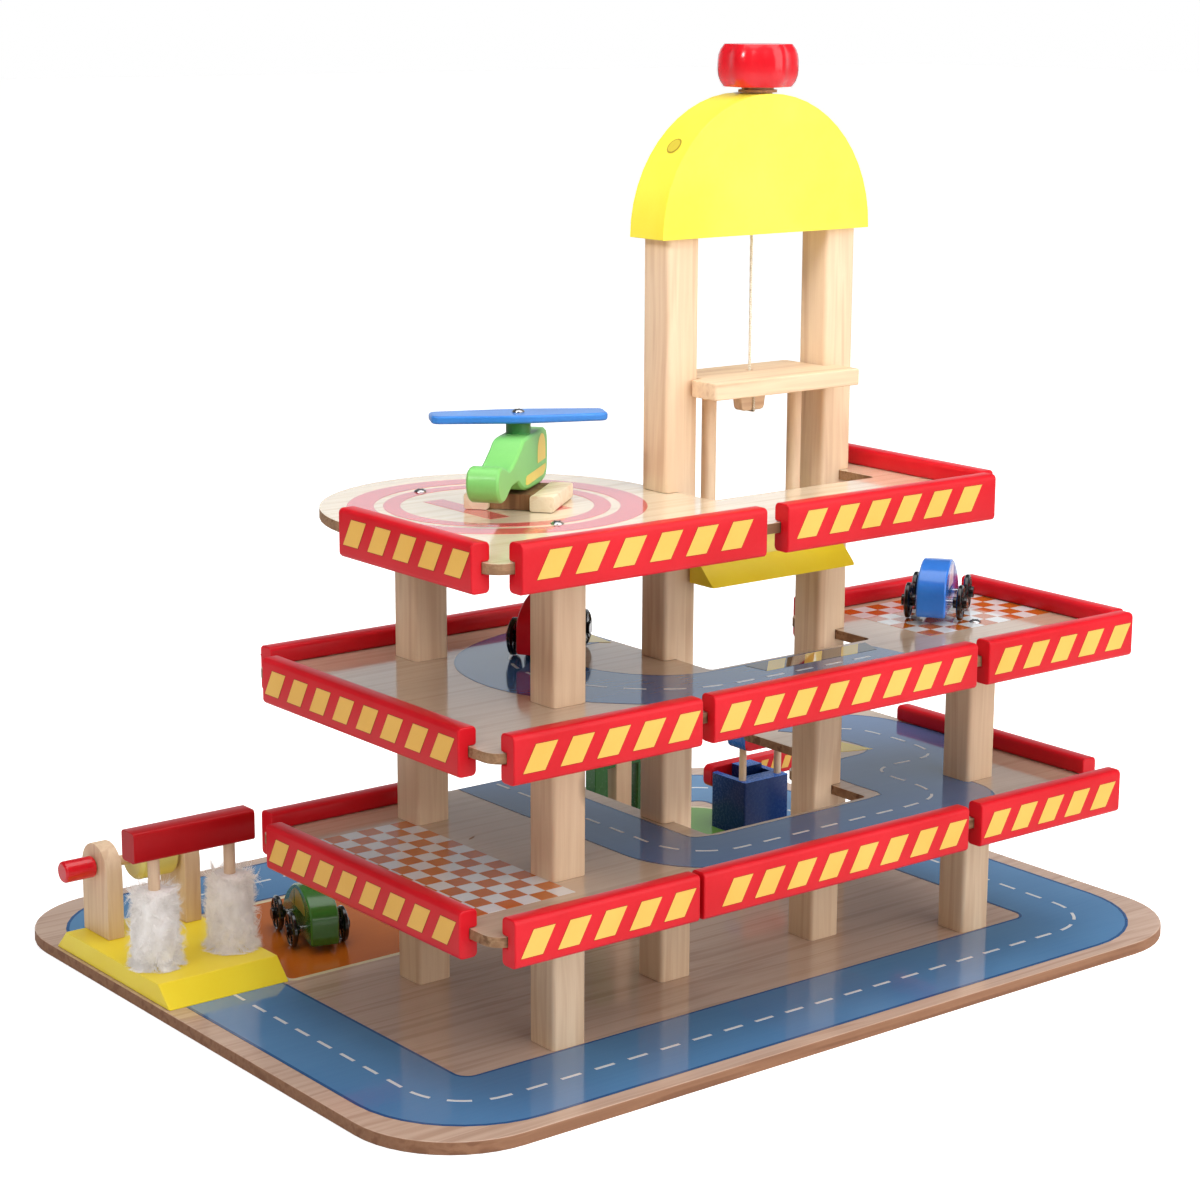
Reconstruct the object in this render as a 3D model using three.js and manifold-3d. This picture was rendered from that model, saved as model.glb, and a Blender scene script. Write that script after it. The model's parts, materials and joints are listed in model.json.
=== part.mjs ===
// Wooden toy parking garage: a base board, three decks on posts, a lift in a tower, a car wash,
// a fuel station, a service frame, a helicopter and three small cars.
// Units are millimetres, +Z is up, +X runs along the garage and -Y is its front.
// The origin is the centre of the base board's underside.
import * as THREE from 'three';
import { mergeVertices } from 'three/addons/utils/BufferGeometryUtils.js';
import Module from 'manifold-3d';

const wasm = await Module();
wasm.setup();

// Base board
const boardLength = 561.6;
const boardDepth = 446;
const boardThickness = 7;
const boardCornerRadius = 60;

// Decks, all of one plate thickness, one storey apart
const lowerLevel = 1;
const middleLevel = 2;
const upperLevel = 3;
const levelPitch = 92.3;
const deckThickness = 5.5;
const deckLength = 444;
const deckShiftX = -1.4;
const deckDepth = 220;
const deckFrontY = -202;
const deckCornerRadius = 10;
const deckStepRadius = 10;
const deckInnerRadius = 3;
const wingReachBehindTower = 32;
const upperWingWidth = 23;
const lowerStepWidth = 35.7;

// Posts of square stock, one piece for each storey, set in from the decks' edges
const postSide = 21.5;
const postEdgeRadius = 2.5;
const postInsetLeft = 85.2;
const postInsetRight = 57.8;
const postInsetFront = 62.6;
const postInsetBack = 34.5;

// Lift tower: two tall posts, sawn out where the decks reach into them, under a half-round roof
const towerX = 26.8;
const towerY = -95.5;
const towerSpan = 112.6;
const towerRise = 135.3;
const sawSlotDepth = 8.25;
const roofOverhang = 6.55;
const roofProud = 3.15;
const roofSkirtHeight = 0.6;
const stringHoleRadius = 2.5;

// Winch: a lobed knob, its neck and its collar on a spool that turns in the roof
const winchShiftX = 2.5;
const knobRadius = 21.75;
const knobHeight = 22.5;
const knobEdgeShare = 0.84;
const knobBulgePower = 3;
const knobSteps = 8;
const knobLobes = 6;
const knobLobeDepth = 3;
const knobLobeDegrees = 21.8;
const neckRadius = 8.7;
const neckHeight = 1.5;
const collarRadius = 10.5;
const collarHeight = 1.4;
const spoolRadius = 8;
const spoolLength = 30;

// Lift cabin: a floor and a top board of one T-shaped plan, joined by two rods
const liftRestRise = 42.3;
const liftSideClearance = 1.5;
const liftFrontClearance = 1.25;
const liftNotchGap = 6.7;
const liftBarDepth = 21;
const liftBackReach = 19.5;
const liftCornerRadius = 2;
const liftFloorThickness = 12;
const liftBoardThickness = 9;
const liftCabinHeight = 89.3;
const liftRodRadius = 4.1;
const liftRodSpacing = 62;
const liftRodSetForward = 2.8;
const toggleLength = 20;
const toggleDepth = 7;
const toggleHeight = 13;
const toggleTaper = 2;
const toggleRadius = 2.5;
const stringRadius = 1;
const boardHoleRadius = 2.2;

// Rails: slotted strips pushed onto the decks' edges
const railHeight = 25;
const railThickness = 11;
const railSlotDepth = 4.5;
const railEdgeRadius = 2.5;
const railMouthRadius = 1.2;

// Car wash
const washWidth = 75.6;
const washDepth = 130.7;
const washHeight = 12;
const washRamp = 12;
const washEdgeMargin = 2.1;
const washSetBack = 4;
const washBoardThickness = 10.2;
const washBoardWidth = 29.5;
const washBoardHeight = 54;
const washBoardLeftInset = 12;
const washBoardRightInset = 3.3;
const washBoardSetBack = 39.4;
const crankDrop = 13.2;
const crankRadius = 6.25;
const crankLength = 19.5;
const crankGap = 0.6;
const crankShaftRadius = 3;
const crankShaftBite = 7;
const rollerRadius = 13;
const rollerLeftGap = 13.5;
const rollerRightGap = 1.5;
const rollerChamfer = 2;
const beamDepth = 14;
const beamHeight = 17.4;
const beamOverhang = 0.3;
const beamClearHeight = 62.1;
const beamSetForward = 24.85;
const beamEdgeRadius = 2;
const washDowelRadius = 3.3;
const washDowelSpacing = 47.8;
const washDowelShift = 1.2;
const washDowelSocket = 8;
const brushRadius = 14.6;
const brushLength = 44.5;
const brushShoulder = 4;

// Fuel station with a canopy on two dowels and a barrier arm behind it
const stationX = 191.1;
const stationSetBack = 49.5;
const stationWidth = 38;
const stationDepth = 33.5;
const stationHeight = 37;
const stationEdgeRadius = 1.5;
const stationWall = 5;
const stationFrontWall = 13;
const stationPocketDepth = 14;
const hingeBlockWidth = 16;
const hingeBlockDepth = 12;
const hingeBlockRise = 3;
const hingeBlockShift = 6.5;
const canopyWidth = 39;
const canopyDepth = 17.5;
const canopyThickness = 12;
const canopyClearHeight = 21;
const canopyEdgeRadius = 4;
const canopyDowelRadius = 2.45;
const canopyDowelInset = 3.9;
const canopyDowelSetBack = 7;
const canopyDowelSocket = 7;
const barrierLength = 82;
const barrierThickness = 9;
const barrierHeight = 14.5;
const barrierEndRadius = 4;
const barrierTail = 24.9;
const barrierPinRadius = 2.5;
const barrierPinLength = 8;

// Service frame: a board with a tall opening and a post in the middle of it
const frameX = 63.1;
const frameSetBack = 45;
const frameWidth = 44;
const frameHeight = 84;
const frameThickness = 10;
const frameOpeningWidth = 24;
const frameOpeningTaper = 2;
const frameSill = 10;
const frameLintel = 14;
const framePostSide = 12;

// Helicopter on the upper deck
const helicopterShiftX = 7.3;
const helicopterShiftY = -4.5;
const helicopterHeading = 39.5;
const helicopterLength = 105;
const helicopterHeight = 29;
const helicopterTailShare = 0.72;
const helicopterWidth = 17;
const helicopterBevel = 1.2;
const mastRadius = 6.5;
const mastHeight = 6.2;
const mastSetBack = 1;
const mastRoot = 6;
const skidLength = 44;
const skidWidth = 12.8;
const skidHeight = 8.3;
const skidSpacing = 35.1;
const skidEdgeRadius = 1.2;
const crossBarLength = 36;
const rotorLength = 92.5;
const rotorWidth = 27;
const rotorTipWidth = 18;
const rotorTipRadius = 4;
const rotorThickness = 4.3;
const rotorBevel = 0.8;
const rotorDegrees = -67.5;
const rotorPinRadius = 2;
const rotorPinLength = 7;

// Cars, all of one size
const carLength = 63;
const carRearReach = 33;
const carWidth = 16.8;
const carGroundGap = 4.6;
const carHeight = 29.2;
const carBevel = 0.8;
const wheelRadius = 10.5;
const wheelBase = 31;
const wheelHubSpan = 38;
const wheelHubRadius = 3.3;
const wheelHubTip = 2.2;
const wheelRimWidth = 3.4;
const wheelRimDepth = 2.2;
const wheelWebRecess = 1;
const wheelInnerHub = 2.6;
const axleRadius = 1.5;

// Clearances
const slotFit = 0.1;
const restGap = 0.3;
const turnGap = 0.3;
const barrierGap = 0.5;
const glueGap = 0.1;

// How finely round stretches are drawn, and how far a cutter runs past what it cuts
const chordError = 0.15;
const overrun = 1;
const weldDistance = 1e-4;
const smallCircleSides = 12;
const circleSides = 20;
const wheelSides = 16;

// Heights and edges that several pieces share
const deckLeftX = deckShiftX - deckLength / 2;
const deckRightX = deckShiftX + deckLength / 2;
const deckBackY = deckFrontY + deckDepth;
const storeyHeight = levelPitch - deckThickness;
const deckTop = (level) => boardThickness + level * levelPitch;
const notchHalfWidth = towerSpan / 2 + postSide / 2 - sawSlotDepth + slotFit;
const notchLeftX = towerX - notchHalfWidth;
const notchRightX = towerX + notchHalfWidth;
const liftFrontReach = postSide / 2 + liftFrontClearance + liftBarDepth;
const notchFrontY = towerY - liftFrontReach - liftNotchGap;
const wingBackY = towerY + wingReachBehindTower;
const upperRightX = notchRightX + upperWingWidth;
const towerTop = deckTop(upperLevel) + towerRise;
const roofHeight = (towerSpan + postSide) / 2 + roofOverhang + roofSkirtHeight;
const helipadX = (deckLeftX + notchLeftX) / 2;
const helipadRadius = (notchLeftX - deckLeftX) / 2;
const helipadY = deckBackY - helipadRadius;

// Colours
const colours = {
  pine: 0xdcb98a,
  plywood: 0xb98a5e,
  printedWood: 0xc9a78c,
  red: 0xd2141e,
  yellow: 0xf2e224,
  blue: 0x1f5fc4,
  darkBlue: 0x12306b,
  green: 0x4aa33c,
  lightGreen: 0x7fcf70,
  black: 0x111111,
  white: 0xf0eeea,
  cream: 0xe6dc8c,
};

function paint(colour, roughness = 0.35, metalness = 0) {
  return new THREE.MeshStandardMaterial({ color: colours[colour], roughness, metalness });
}

// Number of chords that keep an arc within the chord error
function arcSteps(radius, sweep) {
  const step = 2 * Math.acos(1 - Math.min(chordError / radius, 1));
  return Math.max(1, Math.ceil(Math.abs(sweep) / step));
}

// Points of the fillet at one corner of an outline
function filletPoints(before, corner, after, radius) {
  const back = before.clone().sub(corner).normalize();
  const ahead = after.clone().sub(corner).normalize();
  const half = Math.acos(back.dot(ahead)) / 2;
  const centre = back.clone().add(ahead).setLength(radius / Math.sin(half)).add(corner);
  const start = corner.clone().addScaledVector(back, radius / Math.tan(half)).sub(centre);
  const end = corner.clone().addScaledVector(ahead, radius / Math.tan(half)).sub(centre);
  const sweep = Math.atan2(start.cross(end), start.dot(end));
  const steps = arcSteps(radius, sweep);
  const points = [];
  for (let i = 0; i <= steps; i += 1) {
    const turned = start.clone().rotateAround(new THREE.Vector2(), (sweep * i) / steps);
    points.push(turned.add(centre));
  }
  return points;
}

// Closed outline through corners [x, y, fillet radius]
function outline(corners) {
  const points = [];
  corners.forEach(([x, y, radius = 0], i) => {
    const corner = new THREE.Vector2(x, y);
    const before = new THREE.Vector2(...corners.at(i - 1).slice(0, 2));
    const after = new THREE.Vector2(...corners[(i + 1) % corners.length].slice(0, 2));
    const stretch = radius > 0 ? filletPoints(before, corner, after, radius) : [corner];
    for (const point of stretch) {
      const last = points.at(-1);
      if (!last || last.distanceTo(point) > weldDistance) points.push(point);
    }
  });
  if (points.at(-1).distanceTo(points[0]) < weldDistance) points.pop();
  return new THREE.Shape(points);
}

function rectangle(x0, y0, x1, y1, radius = 0) {
  return outline([[x0, y0, radius], [x1, y0, radius], [x1, y1, radius], [x0, y1, radius]]);
}

function circle(radius, sides = smallCircleSides, x = 0, y = 0) {
  const points = [];
  for (let i = 0; i < sides; i += 1) {
    const angle = (2 * Math.PI * i) / sides;
    points.push(new THREE.Vector2(x + radius * Math.cos(angle), y + radius * Math.sin(angle)));
  }
  return new THREE.Shape(points);
}

// A shape's own x and y and its depth, laid on the model's axes
const layouts = {
  x: [[0, 1, 0], [0, 0, 1], [1, 0, 0], 1],
  y: [[1, 0, 0], [0, 0, 1], [0, -1, 0], -1],
  z: [[1, 0, 0], [0, 1, 0], [0, 0, 1], 1],
};

// Prism of a shape from one place to another along an axis, with an optional bevel inside it
function prism(shape, axis, from, to, bevel = 0) {
  const [across, up, along, direction] = layouts[axis];
  const geometry = new THREE.ExtrudeGeometry(shape, {
    depth: to - from - 2 * bevel,
    bevelEnabled: bevel > 0,
    bevelThickness: bevel,
    bevelSize: bevel,
    bevelOffset: -bevel,
    bevelSegments: 1,
    curveSegments: 8,
  });
  geometry.translate(0, 0, (direction > 0 ? from : -to) + bevel);
  const turn = new THREE.Matrix4().makeBasis(
    new THREE.Vector3(...across),
    new THREE.Vector3(...up),
    new THREE.Vector3(...along),
  );
  return geometry.applyMatrix4(turn);
}

function box(x0, x1, y0, y1, z0, z1) {
  return prism(rectangle(x0, y0, x1, y1), 'z', z0, z1);
}

// Solid of revolution about Z, from a profile of [radius, height] that runs upward
function turned(profile, sides) {
  const points = profile.map(([radius, height]) => new THREE.Vector2(radius, height));
  return new THREE.LatheGeometry(points, sides).rotateX(Math.PI / 2);
}

function solidOf(geometry) {
  const bare = geometry.clone();
  bare.deleteAttribute('normal');
  bare.deleteAttribute('uv');
  const merged = mergeVertices(bare, weldDistance);
  return new wasm.Manifold(new wasm.Mesh({
    numProp: 3,
    vertProperties: Float32Array.from(merged.attributes.position.array),
    triVerts: Uint32Array.from(merged.index.array),
  }));
}

function geometryOf(solid) {
  const mesh = solid.getMesh();
  const geometry = new THREE.BufferGeometry();
  geometry.setAttribute('position', new THREE.Float32BufferAttribute(mesh.vertProperties, 3));
  geometry.setIndex(new THREE.Uint32BufferAttribute(mesh.triVerts, 1));
  geometry.computeVertexNormals();
  return geometry;
}

function join(first, ...others) {
  return geometryOf(others.reduce((sum, next) => sum.add(solidOf(next)), solidOf(first)));
}

function cut(first, ...cutters) {
  return geometryOf(cutters.reduce((rest, next) => rest.subtract(solidOf(next)), solidOf(first)));
}

function addPart(group, name, geometry, material) {
  const mesh = new THREE.Mesh(geometry, material);
  mesh.name = name;
  group.add(mesh);
  return mesh;
}

function addGroup(parent, x, y, z, headingDegrees = 0) {
  const group = new THREE.Group();
  group.position.set(x, y, z);
  group.rotation.z = THREE.MathUtils.degToRad(headingDegrees);
  parent.add(group);
  return group;
}

const garage = new THREE.Group();

function buildBoard() {
  const halfLength = boardLength / 2;
  const halfDepth = boardDepth / 2;
  const plan = rectangle(-halfLength, -halfDepth, halfLength, halfDepth, boardCornerRadius);
  addPart(garage, 'base_board', prism(plan, 'z', 0, boardThickness), paint('printedWood'));
}

// Corners of the lift notch, from its right wall round its front to its left wall
function notchCorners() {
  return [
    [notchRightX, notchFrontY, deckInnerRadius],
    [notchLeftX, notchFrontY, deckInnerRadius],
  ];
}

function lowerDeckPlan() {
  const stepX = notchRightX + lowerStepWidth;
  return outline([
    [deckLeftX, deckFrontY, deckCornerRadius],
    [deckRightX, deckFrontY, deckCornerRadius],
    [deckRightX, deckBackY, deckCornerRadius],
    [stepX, deckBackY, deckCornerRadius],
    [stepX, wingBackY, deckStepRadius],
    [notchRightX, wingBackY, deckStepRadius],
    ...notchCorners(),
    [notchLeftX, deckBackY, deckCornerRadius],
    [deckLeftX, deckBackY, deckCornerRadius],
  ]);
}

function middleDeckPlan() {
  return outline([
    [deckLeftX, deckFrontY, deckCornerRadius],
    [deckRightX, deckFrontY, deckCornerRadius],
    [deckRightX, wingBackY, deckCornerRadius],
    [notchRightX, wingBackY, deckStepRadius],
    ...notchCorners(),
    [notchLeftX, deckBackY, deckCornerRadius],
    [deckLeftX, deckBackY, deckCornerRadius],
  ]);
}

// The upper deck's left part ends in a half circle, the helicopter's landing place
function upperDeckPlan() {
  return outline([
    [deckLeftX, deckFrontY, deckCornerRadius],
    [upperRightX, deckFrontY, deckCornerRadius],
    [upperRightX, wingBackY, deckCornerRadius],
    [notchRightX, wingBackY, deckStepRadius],
    ...notchCorners(),
    [notchLeftX, deckBackY, helipadRadius],
    [deckLeftX, deckBackY, helipadRadius],
  ]);
}

function buildDecks() {
  const plans = { deck_lower: lowerDeckPlan(), deck_middle: middleDeckPlan(), deck_upper: upperDeckPlan() };
  Object.entries(plans).forEach(([name, plan], i) => {
    const top = deckTop(i + 1);
    addPart(garage, name, prism(plan, 'z', top - deckThickness, top), paint('plywood'));
  });
}

function squareStock() {
  const half = postSide / 2;
  return rectangle(-half, -half, half, half, postEdgeRadius);
}

function buildPosts() {
  const leftX = deckLeftX + postInsetLeft;
  const rightX = deckRightX - postInsetRight;
  const frontY = deckFrontY + postInsetFront;
  const backY = deckBackY - postInsetBack;
  const columns = [
    ['front_left', leftX, frontY, upperLevel],
    ['back_left', leftX, backY, upperLevel],
    ['front_right', rightX, frontY, middleLevel],
    ['back_right', rightX, backY, lowerLevel],
  ];
  for (const [place, x, y, storeys] of columns) {
    for (let storey = 0; storey < storeys; storey += 1) {
      const name = `post_${place}_${storey + 1}`;
      const mesh = addPart(garage, name, prism(squareStock(), 'z', 0, storeyHeight), paint('pine', 0.6));
      mesh.position.set(x, y, deckTop(storey));
    }
  }
}

// A tower post's slots are sawn into its outer face, where the decks' notch edges sit
function towerPost(outward) {
  const outerFace = (outward * postSide) / 2;
  const slotFloor = outerFace - outward * sawSlotDepth;
  const slotMouth = outerFace + outward * overrun;
  const slots = [lowerLevel, middleLevel, upperLevel].map((level) => {
    const top = deckTop(level) - boardThickness + slotFit;
    const bottom = top - deckThickness - 2 * slotFit;
    const [x0, x1] = [slotFloor, slotMouth].sort((a, b) => a - b);
    return box(x0, x1, -postSide, postSide, bottom, top);
  });
  return cut(prism(squareStock(), 'z', 0, towerTop - boardThickness), ...slots);
}

function towerRoof() {
  const halfWidth = roofHeight - roofSkirtHeight;
  const halfDepth = postSide / 2 + roofProud;
  const arch = outline([
    [-halfWidth, 0],
    [halfWidth, 0],
    [halfWidth, roofHeight, halfWidth],
    [-halfWidth, roofHeight, halfWidth],
  ]);
  const bore = circle(spoolRadius + turnGap, circleSides, winchShiftX);
  return cut(
    prism(arch, 'y', -halfDepth, halfDepth),
    prism(bore, 'z', roofHeight - spoolLength - restGap, roofHeight + overrun),
    prism(circle(stringHoleRadius), 'z', -overrun, roofHeight - spoolLength),
  );
}

// The knob is a turned barrel whose radius swells and shrinks round it
function winchKnob() {
  const collarTop = restGap + collarHeight;
  const base = collarTop + neckHeight;
  const edgeRadius = knobRadius * knobEdgeShare;
  const side = Array.from({ length: knobSteps + 1 }, (_, i) => {
    const fromMiddle = Math.abs((2 * i) / knobSteps - 1) ** knobBulgePower;
    return [knobRadius - (knobRadius - edgeRadius) * fromMiddle, base + (knobHeight * i) / knobSteps];
  });
  const knob = turned([[0, base], ...side, [0, base + knobHeight]], 6 * knobLobes);
  const phase = THREE.MathUtils.degToRad(knobLobeDegrees);
  const place = knob.attributes.position;
  for (let i = 0; i < place.count; i += 1) {
    const angle = Math.atan2(place.getY(i), place.getX(i)) - phase;
    const dip = (knobLobeDepth / knobRadius) * (0.5 - 0.5 * Math.cos(knobLobes * angle));
    place.setXY(i, place.getX(i) * (1 - dip), place.getY(i) * (1 - dip));
  }
  return join(
    knob,
    prism(circle(neckRadius, circleSides), 'z', restGap, base + overrun),
    prism(circle(collarRadius, circleSides), 'z', restGap, collarTop),
    prism(circle(spoolRadius, circleSides), 'z', restGap - spoolLength, collarTop),
  );
}

function buildTower() {
  const tower = addGroup(garage, towerX, towerY, boardThickness);
  const half = towerSpan / 2;
  addPart(tower, 'tower_post_left', towerPost(-1), paint('pine', 0.6)).position.x = -half;
  addPart(tower, 'tower_post_right', towerPost(1), paint('pine', 0.6)).position.x = half;
  const roof = addPart(tower, 'tower_roof', towerRoof(), paint('yellow', 0.25));
  roof.position.z = towerTop - boardThickness;
  const knob = addPart(tower, 'winch_knob', winchKnob(), paint('red', 0.25));
  knob.position.set(winchShiftX, 0, roof.position.z + roofHeight);
}

// Plan of the lift's boards: a bar in front of the tower posts and a tongue between them
function liftPlan() {
  const barHalf = notchHalfWidth - liftNotchGap;
  const tongueHalf = towerSpan / 2 - postSide / 2 - liftSideClearance;
  const barBack = -postSide / 2 - liftFrontClearance;
  return outline([
    [-barHalf, -liftFrontReach, liftCornerRadius],
    [barHalf, -liftFrontReach, liftCornerRadius],
    [barHalf, barBack, liftCornerRadius],
    [tongueHalf, barBack],
    [tongueHalf, liftBackReach, liftCornerRadius],
    [-tongueHalf, liftBackReach, liftCornerRadius],
    [-tongueHalf, barBack],
    [-barHalf, barBack, liftCornerRadius],
  ]);
}

// The floor's front edge is bevelled at 45 degrees, and the rods stand on the floor
function liftFloor() {
  const bevel = outline([
    [-liftFrontReach - overrun, -overrun],
    [-liftFrontReach + liftFloorThickness + overrun, liftFloorThickness + overrun],
    [-liftFrontReach - overrun, liftFloorThickness + overrun],
  ]);
  const plate = cut(
    prism(liftPlan(), 'z', 0, liftFloorThickness),
    prism(bevel, 'x', -towerSpan, towerSpan),
  );
  const rodTop = liftFloorThickness + liftCabinHeight;
  const rods = [-1, 1].map((side) => {
    const section = circle(liftRodRadius, smallCircleSides, (side * liftRodSpacing) / 2, -liftRodSetForward);
    return prism(section, 'z', liftFloorThickness / 2, rodTop);
  });
  return join(plate, ...rods);
}

function buildLift() {
  const restZ = deckTop(middleLevel) + liftRestRise;
  const lift = addGroup(garage, towerX, towerY, restZ);
  addPart(lift, 'lift_floor', liftFloor(), paint('yellow', 0.25));
  const boardBottom = liftFloorThickness + liftCabinHeight;
  const boardTop = boardBottom + liftBoardThickness;
  const hole = prism(circle(boardHoleRadius), 'z', boardBottom - overrun, boardTop + overrun);
  addPart(lift, 'lift_top_board', cut(prism(liftPlan(), 'z', boardBottom, boardTop), hole), paint('pine', 0.6));
  const toggleSection = outline([
    [-toggleLength / 2 + toggleTaper, boardBottom - toggleHeight, toggleRadius],
    [toggleLength / 2 - toggleTaper, boardBottom - toggleHeight, toggleRadius],
    [toggleLength / 2, boardBottom],
    [-toggleLength / 2, boardBottom],
  ]);
  const toggle = prism(toggleSection, 'y', -toggleDepth / 2, toggleDepth / 2);
  addPart(lift, 'lift_toggle', toggle, paint('pine', 0.6));
  const stringTop = towerTop - restZ + roofHeight - spoolLength;
  const string = prism(circle(stringRadius, 8), 'z', boardBottom + restGap, stringTop);
  addPart(lift, 'lift_string', string, paint('white', 0.8));
}

// Section of a rail: outward is -Y, and the slot opens inward at the middle of its height
function railSection() {
  const half = railHeight / 2;
  const slotHalf = deckThickness / 2 + slotFit;
  const inner = railSlotDepth;
  const outer = railSlotDepth - railThickness;
  return outline([
    [outer, -half, railEdgeRadius],
    [inner, -half, railEdgeRadius],
    [inner, -slotHalf, railMouthRadius],
    [-slotFit, -slotHalf],
    [-slotFit, slotHalf],
    [inner, slotHalf, railMouthRadius],
    [inner, half, railEdgeRadius],
    [outer, half, railEdgeRadius],
  ]);
}

// Each edge runs counterclockwise: its start corner, its length and its heading in degrees
const edges = {
  lower_front: [lowerLevel, deckLeftX, deckFrontY, deckLength, 0],
  lower_right: [lowerLevel, deckRightX, deckFrontY, deckDepth, 90],
  lower_back: [lowerLevel, notchLeftX, deckBackY, notchLeftX - deckLeftX, 180],
  lower_left: [lowerLevel, deckLeftX, deckBackY, deckDepth, -90],
  middle_front: [middleLevel, deckLeftX, deckFrontY, deckLength, 0],
  middle_right: [middleLevel, deckRightX, deckFrontY, wingBackY - deckFrontY, 90],
  middle_back_right: [middleLevel, deckRightX, wingBackY, deckRightX - notchRightX, 180],
  middle_back_left: [middleLevel, notchLeftX, deckBackY, notchLeftX - deckLeftX, 180],
  middle_left: [middleLevel, deckLeftX, deckBackY, deckDepth, -90],
  upper_front: [upperLevel, deckLeftX, deckFrontY, upperRightX - deckLeftX, 0],
  upper_right: [upperLevel, upperRightX, deckFrontY, wingBackY - deckFrontY, 90],
  upper_left: [upperLevel, deckLeftX, helipadY, helipadY - deckFrontY, -90],
};

// Where each rail starts and ends, as shares of its edge's length
const railEndShares = {
  lower_front_1: ['lower_front', 0.0155, 0.279],
  lower_front_2: ['lower_front', 0.285, 0.715],
  lower_front_3: ['lower_front', 0.737, 0.993],
  lower_right: ['lower_right', 0.096, 0.804],
  lower_back: ['lower_back', 0.393, 0.968],
  lower_left: ['lower_left', 0.086, 0.904],
  middle_front_1: ['middle_front', 0.0145, 0.28],
  middle_front_2: ['middle_front', 0.297, 0.72],
  middle_front_3: ['middle_front', 0.74, 1.003],
  middle_right: ['middle_right', 0.037, 0.902],
  middle_back_right: ['middle_back_right', 0.045, 0.913],
  middle_back_left: ['middle_back_left', 0.016, 0.958],
  middle_left: ['middle_left', 0.086, 0.904],
  upper_front_1: ['upper_front', 0.035, 0.497],
  upper_front_2: ['upper_front', 0.539, 0.99],
  upper_right: ['upper_right', 0.037, 0.881],
  upper_left: ['upper_left', 0.004, 0.924],
};

function buildRails() {
  for (const [name, [edge, startShare, endShare]] of Object.entries(railEndShares)) {
    const [level, x, y, length, heading] = edges[edge];
    const place = addGroup(garage, x, y, deckTop(level) - deckThickness / 2, heading);
    const strip = prism(railSection(), 'x', startShare * length, endShare * length);
    addPart(place, `rail_${name}`, strip, paint('red', 0.25));
  }
}

const crankAxisY = washBoardSetBack;
const crankAxisZ = washHeight + washBoardHeight - crankDrop;
const washLeftBoardX = -washWidth / 2 + washBoardLeftInset;
const washRightBoardX = washWidth / 2 - washBoardRightInset;
const washDowelXs = [-1, 1].map((side) => washDowelShift + (side * washDowelSpacing) / 2);

// A car wash side board ends in a half circle, and the crank's shaft turns in it
function washBoard(x0) {
  const half = washBoardWidth / 2;
  const face = outline([
    [crankAxisY - half, washHeight],
    [crankAxisY + half, washHeight],
    [crankAxisY + half, washHeight + washBoardHeight, half],
    [crankAxisY - half, washHeight + washBoardHeight, half],
  ]);
  const bore = circle(crankShaftRadius + turnGap, smallCircleSides, crankAxisY, crankAxisZ);
  const x1 = x0 + washBoardThickness;
  return cut(prism(face, 'x', x0, x1), prism(bore, 'x', x0 - overrun, x1 + overrun));
}

// Dowel sections in plan, under the beam
function washDowels(radius) {
  return washDowelXs.map((x) => circle(radius, smallCircleSides, x, -beamSetForward));
}

function washBase() {
  const half = washDepth / 2;
  const ramped = outline([
    [-half, 0],
    [half, 0],
    [half - washRamp, washHeight],
    [-half + washRamp, washHeight],
  ]);
  const sockets = washDowels(washDowelRadius + slotFit).map((section) => (
    prism(section, 'z', washHeight - washDowelSocket - slotFit, washHeight + overrun)
  ));
  return cut(prism(ramped, 'x', -washWidth / 2, washWidth / 2), ...sockets);
}

function washBeam() {
  const bottom = washHeight + beamClearHeight;
  const halfDepth = beamDepth / 2;
  const section = rectangle(
    -beamSetForward - halfDepth,
    bottom,
    -beamSetForward + halfDepth,
    bottom + beamHeight,
    beamEdgeRadius,
  );
  const halfLength = washWidth / 2 + beamOverhang;
  const dowels = washDowels(washDowelRadius).map((shape) => (
    prism(shape, 'z', washHeight - washDowelSocket, bottom + beamHeight / 2)
  ));
  return join(prism(section, 'x', -halfLength, halfLength), ...dowels);
}

// The crank knob and its shaft turn together in both side boards
function washCrank() {
  const knobEnd = washLeftBoardX - crankGap;
  const shaftEnd = washRightBoardX - washBoardThickness + crankShaftBite;
  const knob = circle(crankRadius, circleSides, crankAxisY, crankAxisZ);
  const shaft = circle(crankShaftRadius, smallCircleSides, crankAxisY, crankAxisZ);
  return join(
    prism(knob, 'x', knobEnd - crankLength, knobEnd, rollerChamfer / 2),
    prism(shaft, 'x', knobEnd - crankLength / 2, shaftEnd),
  );
}

function washRoller() {
  const start = washLeftBoardX + washBoardThickness + rollerLeftGap;
  const end = washRightBoardX - washBoardThickness - rollerRightGap;
  const body = circle(rollerRadius, circleSides, crankAxisY, crankAxisZ);
  const bore = circle(crankShaftRadius + glueGap, smallCircleSides, crankAxisY, crankAxisZ);
  return cut(prism(body, 'x', start, end, rollerChamfer), prism(bore, 'x', start - overrun, end + overrun));
}

// A fluffy sleeve, drawn as its plain outer form round the dowel's clearance bore
function washBrush() {
  const bore = washDowelRadius + turnGap;
  return turned([
    [bore, 0],
    [brushRadius - brushShoulder, 0],
    [brushRadius, brushShoulder],
    [brushRadius, brushLength - brushShoulder],
    [brushRadius - brushShoulder, brushLength],
    [bore, brushLength],
    [bore, 0],
  ], circleSides);
}

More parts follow.
